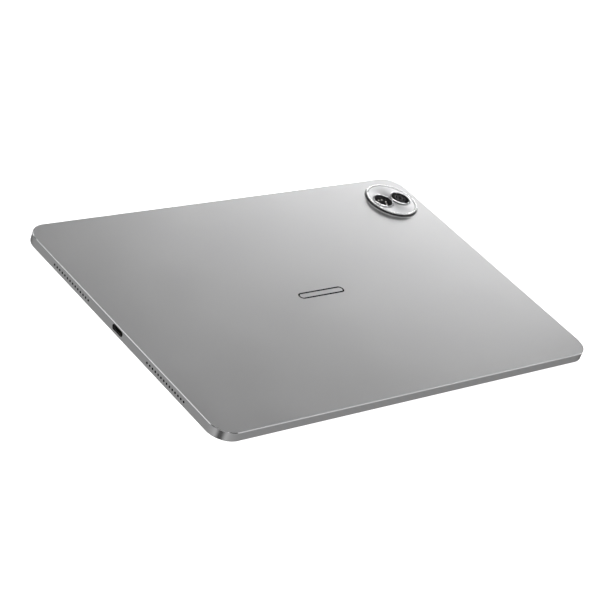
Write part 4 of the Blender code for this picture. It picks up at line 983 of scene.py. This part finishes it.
# ------------------------------------------------------------------ back mark
# A plain outline with round ends: a thin dark metal inlay let into the middle of
# the back.
MARK = (1.0 * MM, -1.6 * MM)
MARK_HALF_LENGTH = 16.5 * MM
MARK_HALF_HEIGHT = 2.6 * MM
MARK_LINE = 1.0 * MM
MARK_PROUD = 0.02 * MM
MARK_DEPTH = 0.1 * MM
mark = add_block(
    "back_inlay",
    (MARK[0] - MARK_HALF_LENGTH, MARK[1] - MARK_HALF_HEIGHT, BACK_LEVEL - MARK_DEPTH),
    (MARK[0] + MARK_HALF_LENGTH, MARK[1] + MARK_HALF_HEIGHT, BACK_LEVEL + MARK_PROUD))
shape(mark, round_corners(2, MARK_HALF_HEIGHT * 0.999, 16))
inner = add_block(
    "mark_inside",
    (MARK[0] - MARK_HALF_LENGTH + MARK_LINE, MARK[1] - MARK_HALF_HEIGHT + MARK_LINE,
     BACK_LEVEL - MM),
    (MARK[0] + MARK_HALF_LENGTH - MARK_LINE, MARK[1] + MARK_HALF_HEIGHT - MARK_LINE,
     BACK_LEVEL + MM))
shape(inner, round_corners(2, (MARK_HALF_HEIGHT - MARK_LINE) * 0.999, 16))
cut(mark, [inner])
smooth(mark)
inlay = Finish("dark_inlay", Metallic=1.0, Base_Color=(0.03, 0.03, 0.032))
inlay.drive(Roughness=0.12 + 0.08 * inlay.noise(0.8 * MM, 3.0)).put_on(mark)
fit(mark, "chassis", "polished_metal")

# ------------------------------------------------------------------ display
# The liquid crystal panel: two sheets of glass in a thin tape frame, over a
# folded white tray of light guide and diffusers that backs it.


def add_slab(name, node, corner, edge, slot, finish):
    """A chassis node made again as a slab with rounded corners and softened edges."""
    low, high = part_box(node)
    slab = add_block(name, low, high)
    shape(slab, round_corners(2, corner, 4), break_edge(2, low.z, edge, 2),
          break_edge(2, high.z, edge, 2))
    smooth(slab)
    finish.put_on(slab)
    fit(slab, "chassis", slot, node)


COLUMN_RATE = 12000.0  # radians in a metre
film = Finish("polariser_film", Coat_Weight=0.5, Coat_Roughness=0.1)
columns = film.place.math("SINE", film.axes()[0] * COLUMN_RATE)
film.drive(Base_Color=film.blend(lit_area(film), (0.01, 0.01, 0.011), (0.035, 0.045, 0.055)),
           Roughness=0.16 + 0.04 * columns + 0.05 * film.noise(18 * MM))
add_slab("panel_glass", "display_cell", 0.6 * MM, 0.06 * MM, "display_film", film)

diffuser = Finish("diffuser_tray")
haze = diffuser.noise(0.8 * MM, 4.0, 0.6)
diffuser.mottle(haze, (0.74, 0.74, 0.71), (0.84, 0.84, 0.82), 0.45, 0.15)
diffuser.raise_by(haze, 0.01 * MM, 0.4)
add_slab("light_tray", "display_backlight", 0.8 * MM, 0.1 * MM, "white_reflector", diffuser)

# ------------------------------------------------------------------ circuit boards
# Glass-fibre boards under a dark solder mask, with copper tracks showing faintly
# through it and small gilded lands. Three of them carry small soldered parts.
mask = Finish("solder_mask", Coat_Weight=0.3, Coat_Roughness=0.25)
grid = mask.place.node("TexBrick", {"offset": 0.5, "squash": 1.0}, {
    "Vector": mask.place, "Scale": 1.0, "Mortar Size": 0.08 * MM, "Mortar Smooth": 0.1,
    "Brick Width": 2.3 * MM, "Row Height": 0.55 * MM}, 1)
routes = mask.place.node("TexVoronoi", {"distance": "MANHATTAN", "feature": "F1"}, {
    "Vector": mask.place, "Scale": 1 / (3.2 * MM)}, 0)
tracks = mask.place.math("MAXIMUM", grid, (routes > 0.42) * (routes < 0.47))
vias = mask.place.node("TexVoronoi", {"feature": "F1"}, {
    "Vector": mask.place, "Scale": 1 / (1.7 * MM), "Randomness": 0.6}, 0)
gilt = vias < 0.1
green = mask.blend(tracks, (0.008, 0.045, 0.03), (0.014, 0.085, 0.055))
mask.drive(Base_Color=mask.blend(gilt, green, (0.62, 0.44, 0.16)),
           Metallic=0.9 * gilt, Roughness=0.4 - 0.12 * tracks + 0.08 * mask.noise(1.2 * MM))
mask.raise_by(tracks + gilt, 0.02 * MM, 0.6)
BOARDS = ("main_board", "usb_board", "battery_board", "display_driver_board")
mask.put_on(*(frame["nodes"][name] for name in BOARDS))

# the small parts: on the screen side of the main and port boards, clear of the
# shields, and on the back of the driver board
ceramic = Finish("ceramic_chips")
speck = ceramic.noise(0.15 * MM, 2.0)
patches = ceramic.place.node("TexVoronoi", {"feature": "F1"}, {
    "Vector": ceramic.place, "Scale": 1 / (1.1 * MM)}, 1)
shade = patches.node("SeparateColor", {}, {0: patches}, 0)
ceramic.drive(Base_Color=ceramic.blend(shade, (0.05, 0.045, 0.04), (0.42, 0.34, 0.24)),
              Roughness=0.4 + 0.2 * speck)
tin = Finish("tinned_ends", Metallic=1.0, Base_Color=(0.66, 0.66, 0.64))
tin.drive(Roughness=0.28 + 0.15 * tin.noise(0.2 * MM, 3.0))


def add_chip_part(name, length, width, height):
    """A ceramic part with two tinned ends, at the origin, standing down from z = 0."""
    part = add_block(name, (-length / 2, -width / 2, -height), (length / 2, width / 2, 0.0))
    end = length * 0.28
    shape(part, lambda piece: [
        (bpy.ops.mesh.select_all(action="SELECT"),
         bpy.ops.mesh.bisect(plane_co=(place, 0, 0), plane_no=(1, 0, 0)))
        for place in (end, -end)])
    ceramic.put_on(part)
    part.data.materials.append(tin.material)
    for face in part.data.polygons:
        if abs(face.center.x) > end:
            face.material_index = 1
    return part


def copy_to(piece, name, shift):
    """A copy of a finished shape with its own mesh, moved by a shift."""
    select_only(piece)
    bpy.ops.object.duplicate(linked=False)
    copy = bpy.context.active_object
    copy.location = Vector(shift)
    return settle(name)


def populate(name, level, sizes, places):
    """Solder copies of small parts on a board, hanging from one level of its face."""
    patterns = [add_chip_part("pattern", *size) for size in sizes]
    parts = [copy_to(patterns[number % len(patterns)], "part", (x * MM, y * MM, level))
             for number, (x, y) in enumerate(places)]
    for pattern in patterns:
        bpy.data.objects.remove(pattern, do_unlink=True)
    fit(joined(parts, name), "chassis", "chip_epoxy")


SMALL_PART = (1.0 * MM, 0.5 * MM, 0.45 * MM)
MIDDLE_PART = (1.6 * MM, 0.8 * MM, 0.6 * MM)
LARGE_PART = (2.0 * MM, 1.6 * MM, 0.8 * MM)
board_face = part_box("main_board")[0].z
populate("main_board_parts", board_face, (SMALL_PART, MIDDLE_PART, LARGE_PART), [
    (x, y) for x in (95.0, 98.2, 101.4, 104.6, 107.8, 111.0)
    for y in (-68.0, -64.6, -61.2, -57.0, -50.4, -46.8, -43.0, -39.2)
    if (x * 7 + y * 3) % 5 > 0.9])
populate("usb_board_parts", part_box("usb_board")[0].z, (SMALL_PART,), [
    (x, side * y) for x in (-126.0, -123.6) for side in (-1, 1) for y in (8, 11, 14, 17, 20)])
driver_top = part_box("display_driver_board")[1].z
populate("driver_board_parts", driver_top + SMALL_PART[2], (SMALL_PART,), [
    (side * x, -82.2) for side in (-1, 1) for x in (6, 12, 33, 40, 47, 52)])

# ------------------------------------------------------------------ chips
# Moulded epoxy packages soldered to the screen side of the main board, with a
# small round dimple by pin one.
epoxy = Finish("epoxy_package")
filler = epoxy.noise(0.12 * MM, 3.0, 0.6)
epoxy.mottle(filler, (0.018, 0.018, 0.019), (0.036, 0.036, 0.038), 0.42, 0.2)
epoxy.raise_by(filler, 0.008 * MM, 0.4)
for node in ("processor_chip", "storage_chip", "power_chip"):
    low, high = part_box(node)
    chip = add_block(f"{node}_package", low, high)
    shape(chip, break_edge(2, low.z, 0.08 * MM, 2))
    dimple = add_rod("dimple", (low.x + 1.0 * MM, low.y + 1.0 * MM, low.z), 0.35 * MM,
                     0.12 * MM, 2, 24)
    cut(chip, [dimple])
    smooth(chip)
    epoxy.put_on(chip)
    fit(chip, "chassis", "chip_epoxy", node)

# ------------------------------------------------------------------ shields
# Cans of tinned steel pressed over the chips, open to the board, with two rows
# of vent holes. The radio has its own closed can.
stamped = Finish("stamped_tin_steel", Metallic=1.0, Base_Color=(0.62, 0.62, 0.6))
rolled = stamped.noise(0.12 * MM, 3.0, squeeze=(1.0, 0.08, 1.0))
stamped.drive(Roughness=0.26 + 0.16 * rolled)
stamped.raise_by(rolled, 0.004 * MM, 0.4)
for node in ("processor_shield", "power_shield"):
    low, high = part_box(node)
    can = add_block(f"{node}_can", low, high)
    shape(can, round_corners(2, 0.8 * MM, 4), break_edge(2, low.z, 0.15 * MM, 3),
          sink(2, high.z, 0.2 * MM, -0.7 * MM))
    vents = [add_rod("vent", ((low.x + high.x) / 2 + side * 8.5 * MM,
                              low.y + 2.0 * MM + step * 2.0 * MM, low.z), 0.35 * MM, 2 * MM, 2, 12)
             for side in (-1, 1) for step in range(int((high.y - low.y) / (2.0 * MM)) - 1)]
    cut(can, [joined(vents)])
    smooth(can)
    stamped.put_on(can)
    fit(can, "chassis", "tinned_steel", node)
add_slab("radio_can", "radio_module", 0.5 * MM, 0.1 * MM, "tinned_steel", stamped)

# ------------------------------------------------------------------ heat spreader
# A sheet of rolled graphite stuck on the back of the board over the processor.
graphite = Finish("graphite_sheet", Metallic=0.3)
flakes = graphite.place.node("TexVoronoi", {"feature": "F1"}, {
    "Vector": graphite.place, "Scale": 1 / (0.5 * MM)}, 0)
graphite.mottle(flakes, (0.03, 0.03, 0.033), (0.09, 0.09, 0.095), 0.35, 0.2)
graphite.raise_by(flakes, 0.006 * MM, 0.4)
add_slab("graphite_pad", "heat_spreader", 1.0 * MM, 0.04 * MM, "graphite_sheet", graphite)

# ------------------------------------------------------------------ board screws
# Steel screws with flat heads and a cross recess hold both boards to the
# housing's bosses.
SHANK_RADIUS = 0.6 * MM
threaded = Finish("zinc_plated_steel", Metallic=1.0, Base_Color=(0.55, 0.55, 0.56))
_, _, screw_up = threaded.axes()
thread = threaded.place.math("PINGPONG", screw_up, 0.15 * MM) * (1 / (0.15 * MM))
threaded.drive(Roughness=0.25 + 0.15 * threaded.noise(0.2 * MM, 3.0))
threaded.raise_by(thread, 0.05 * MM, 0.5)
for node in SCREWS:
    low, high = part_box(node)
    middle = ((low.x + high.x) / 2, (low.y + high.y) / 2)
    radius = (high.x - low.x) / 2
    screw = add_turned(f"{node}_turned", middle, (
        (radius, low.z), (radius, low.z + 0.6 * MM), (SHANK_RADIUS, low.z + 0.6 * MM),
        (SHANK_RADIUS, high.z), (0.02 * MM, high.z), (0.02 * MM, low.z)), 32)
    shape(screw, round_ring(middle, radius, low.z, 0.15 * MM, 3),
          round_ring(middle, SHANK_RADIUS, high.z, 0.12 * MM, 1))
    recess = [add_block("recess", (middle[0] - x * MM, middle[1] - y * MM, low.z - 0.1 * MM),
                        (middle[0] + x * MM, middle[1] + y * MM, low.z + 0.35 * MM))
              for x, y in ((0.75, 0.14), (0.14, 0.75))]
    cut(screw, recess)
    smooth(screw, 35)
    threaded.put_on(screw)
    fit(screw, "chassis", "screw_steel", node)

# ------------------------------------------------------------------ flexible cables
# Two thin amber films with copper lines inside join the display and the port
# board to the main board.
amber = Finish("amber_film", Coat_Weight=0.6, Coat_Roughness=0.15)
amber_x, amber_y, _ = amber.axes()
LINE_PITCH = 0.5 * MM
LONG_RUN_Y = 79.3 * MM
lines_x = amber.waves(amber_x, LINE_PITCH) > 0.2
lines_y = amber.waves(amber_y, LINE_PITCH) > 0.2
runs_along = abs(amber_y) > LONG_RUN_Y
copper_lines = runs_along * lines_y + (1 - runs_along) * lines_x
amber.drive(Base_Color=amber.blend(copper_lines, (0.30, 0.13, 0.025), (0.62, 0.30, 0.09)),
            Metallic=0.5 * copper_lines, Roughness=0.3 + 0.1 * amber.noise(1.0 * MM))
amber.raise_by(copper_lines, 0.02 * MM, 0.4)
amber.put_on(frame["nodes"]["interconnect_flex"], frame["nodes"]["display_flex"])

# ------------------------------------------------------------------ batteries
# Two flat lithium pouch cells side by side. The foil is drawn round each cell and
# lightly wrinkled, and two strips of black tape lie across it.
pouch = Finish("pouch_foil", Metallic=0.75)
wrinkle = pouch.noise(9 * MM, 5.0, 0.65)
weave = pouch.noise(0.3 * MM, 2.0)
pouch.drive(Base_Color=pouch.blend(wrinkle, (0.16, 0.16, 0.17), (0.30, 0.30, 0.31)),
            Roughness=0.3 + 0.14 * weave + 0.1 * wrinkle)
pouch.raise_by(wrinkle + 0.1 * weave, 0.25 * MM, 0.5)
wrap = Finish("black_wrap_tape")
ribs = wrap.noise(0.4 * MM, 3.0)
wrap.mottle(ribs, (0.012, 0.012, 0.013), (0.03, 0.03, 0.032), 0.35, 0.2)
wrap.raise_by(ribs, 0.02 * MM, 0.4)
for node in ("battery_left", "battery_right"):
    low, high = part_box(node)
    pouch_cell = add_block(f"{node}_pouch", low, high)
    shape(pouch_cell, round_corners(2, 2.0 * MM, 6),
          break_edge(2, low.z, 0.6 * MM, 5), break_edge(2, high.z, 0.6 * MM, 5))
    smooth(pouch_cell)
    pouch.put_on(pouch_cell)
    fit(pouch_cell, "chassis", "battery_pouch", node)
    for number, end_y in enumerate((low.y + 6 * MM, high.y - 16 * MM)):
        strip = add_block(f"{node}_tape_{number + 1}",
                          (low.x + 0.3 * MM, end_y, low.z - 0.05 * MM),
                          (high.x - 0.3 * MM, end_y + 10 * MM, low.z + 0.02 * MM))
        shape(strip, round_corners(2, 1.0 * MM, 4), break_edge(2, low.z - 0.05 * MM, 0.02 * MM))
        smooth(strip)
        wrap.put_on(strip)
        fit(strip, "chassis", "battery_pouch")

# ------------------------------------------------------------------ speakers
# Each speaker is a moulded box with a port to its row of holes, a woven steel
# dust mesh across the port, and a film diaphragm on a rolled edge.
woven = Finish("woven_dust_mesh", Metallic=0.4)
_, woven_y, woven_z = woven.axes()
WIRE_PITCH = 0.16 * MM
warp = woven.waves(woven_y, WIRE_PITCH)
weft = woven.waves(woven_z, WIRE_PITCH)
wires = 0.5 + 0.25 * warp + 0.25 * weft
woven.mottle(wires, (0.001, 0.001, 0.001), (0.012, 0.012, 0.012), 0.5, 0.2)
woven.raise_by(wires, 0.03 * MM, 0.8)
membrane = Finish("diaphragm_film", Coat_Weight=0.3)
grain = membrane.noise(0.5 * MM, 3.0)
membrane.mottle(grain, (0.02, 0.02, 0.022), (0.045, 0.045, 0.05), 0.3, 0.2)
membrane.raise_by(grain, 0.01 * MM, 0.4)
for place in ("left_near", "left_far", "right_near", "right_far"):
    woven.put_on(frame["nodes"][f"speaker_mesh_{place}"])
    moulded.put_on(frame["nodes"][f"speaker_box_{place}"])
    node = f"speaker_diaphragm_{place}"
    low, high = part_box(node)
    cone = add_block(f"{node}_film", low, high)
    shape(cone, round_corners(2, 2.0 * MM, 8), break_edge(2, high.z, 0.08 * MM, 3),
          sink(2, high.z, 0.6 * MM, -0.14 * MM), break_edge(2, low.z, 0.05 * MM))
    shape(cone, lambda piece: (
        pick(piece, "faces", lambda face: at(face, 2, high.z - 0.14 * MM)),
        bpy.ops.mesh.inset(thickness=0.9 * MM, depth=0.0),
        bpy.ops.mesh.inset(thickness=0.3 * MM, depth=0.12 * MM)))
    smooth(cone, 20)
    membrane.put_on(cone)
    fit(cone, f"diaphragm_{place}", "diaphragm_film", node)

# ------------------------------------------------------------------ switches
# Small moulded bars with spring domes, behind the power button and the rocker.
moulded.put_on(frame["nodes"]["power_switch"], frame["nodes"]["volume_switch_board"])

# ------------------------------------------------------------------ antennas and coil
# Copper foil antennas stuck on carriers, and a flat winding that charges a pen
# through the long edge.
foil = Finish("copper_foil", Metallic=1.0)
tarnish = foil.noise(3 * MM, 4.0, 0.6)
foil.mottle(tarnish, (0.78, 0.40, 0.23), (0.58, 0.28, 0.15), 0.26, 0.18)
foil.raise_by(foil.noise(0.3 * MM, 2.0), 0.01 * MM, 0.3)
for node in ("antenna_left", "antenna_right"):
    add_slab(f"{node}_foil", node, 0.5 * MM, 0.05 * MM, "copper", foil)
winding = Finish("enamelled_winding", Metallic=0.9)
_, _, wound_z = winding.axes()
turns = abs(winding.place.math("SINE", wound_z * (math.pi / (0.2 * MM))))
winding.mottle(turns, (0.25, 0.10, 0.05), (0.74, 0.34, 0.17), 0.3, 0.1)
winding.raise_by(turns, 0.08 * MM, 0.8)
low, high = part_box("pen_charging_coil")
coil = add_block("pen_coil_winding", low, high)
shape(coil, round_corners(2, 2.4 * MM, 8), break_edge(2, low.z, 0.1 * MM, 2),
      break_edge(2, high.z, 0.1 * MM, 2))
core = add_block("coil_core", (low.x + 1.6 * MM, low.y + 1.6 * MM, low.z - MM),
                 (high.x - 1.6 * MM, high.y - 1.6 * MM, high.z + MM))
shape(core, round_corners(2, 0.85 * MM, 6))
cut(coil, [core])
smooth(coil)
winding.put_on(coil)
fit(coil, "chassis", "copper", "pen_charging_coil")

# ------------------------------------------------------------------ front camera
# A small square module behind the glass with a round lens, beside a light
# sensor; a microphone can sits behind its hole in the long edge.
low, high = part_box("front_camera")
selfie = add_block("front_camera_block", (low.x, low.y, low.z + 0.9 * MM), high)
shape(selfie, round_corners(2, 0.5 * MM, 4), break_edge(2, low.z + 0.9 * MM, 0.15 * MM, 2))
snout = add_turned("snout", (CAMERA_DOT.x, CAMERA_DOT.y), (
    (1.6 * MM, low.z + 1.2 * MM), (1.6 * MM, low.z), (1.2 * MM, low.z),
    (0.7 * MM, low.z + 0.35 * MM), (0.02 * MM, low.z + 0.35 * MM),
    (0.02 * MM, low.z + 1.2 * MM)), 48)
cut(selfie, [snout], "UNION")
smooth(selfie)
moulded.put_on(selfie)
fit(selfie, "chassis", "black_plastic", "front_camera")
add_slab("light_sensor_package", "light_sensor", 0.3 * MM, 0.08 * MM, "chip_epoxy", epoxy)
add_slab("microphone_can", "microphone", 0.3 * MM, 0.1 * MM, "chip_epoxy", stamped)
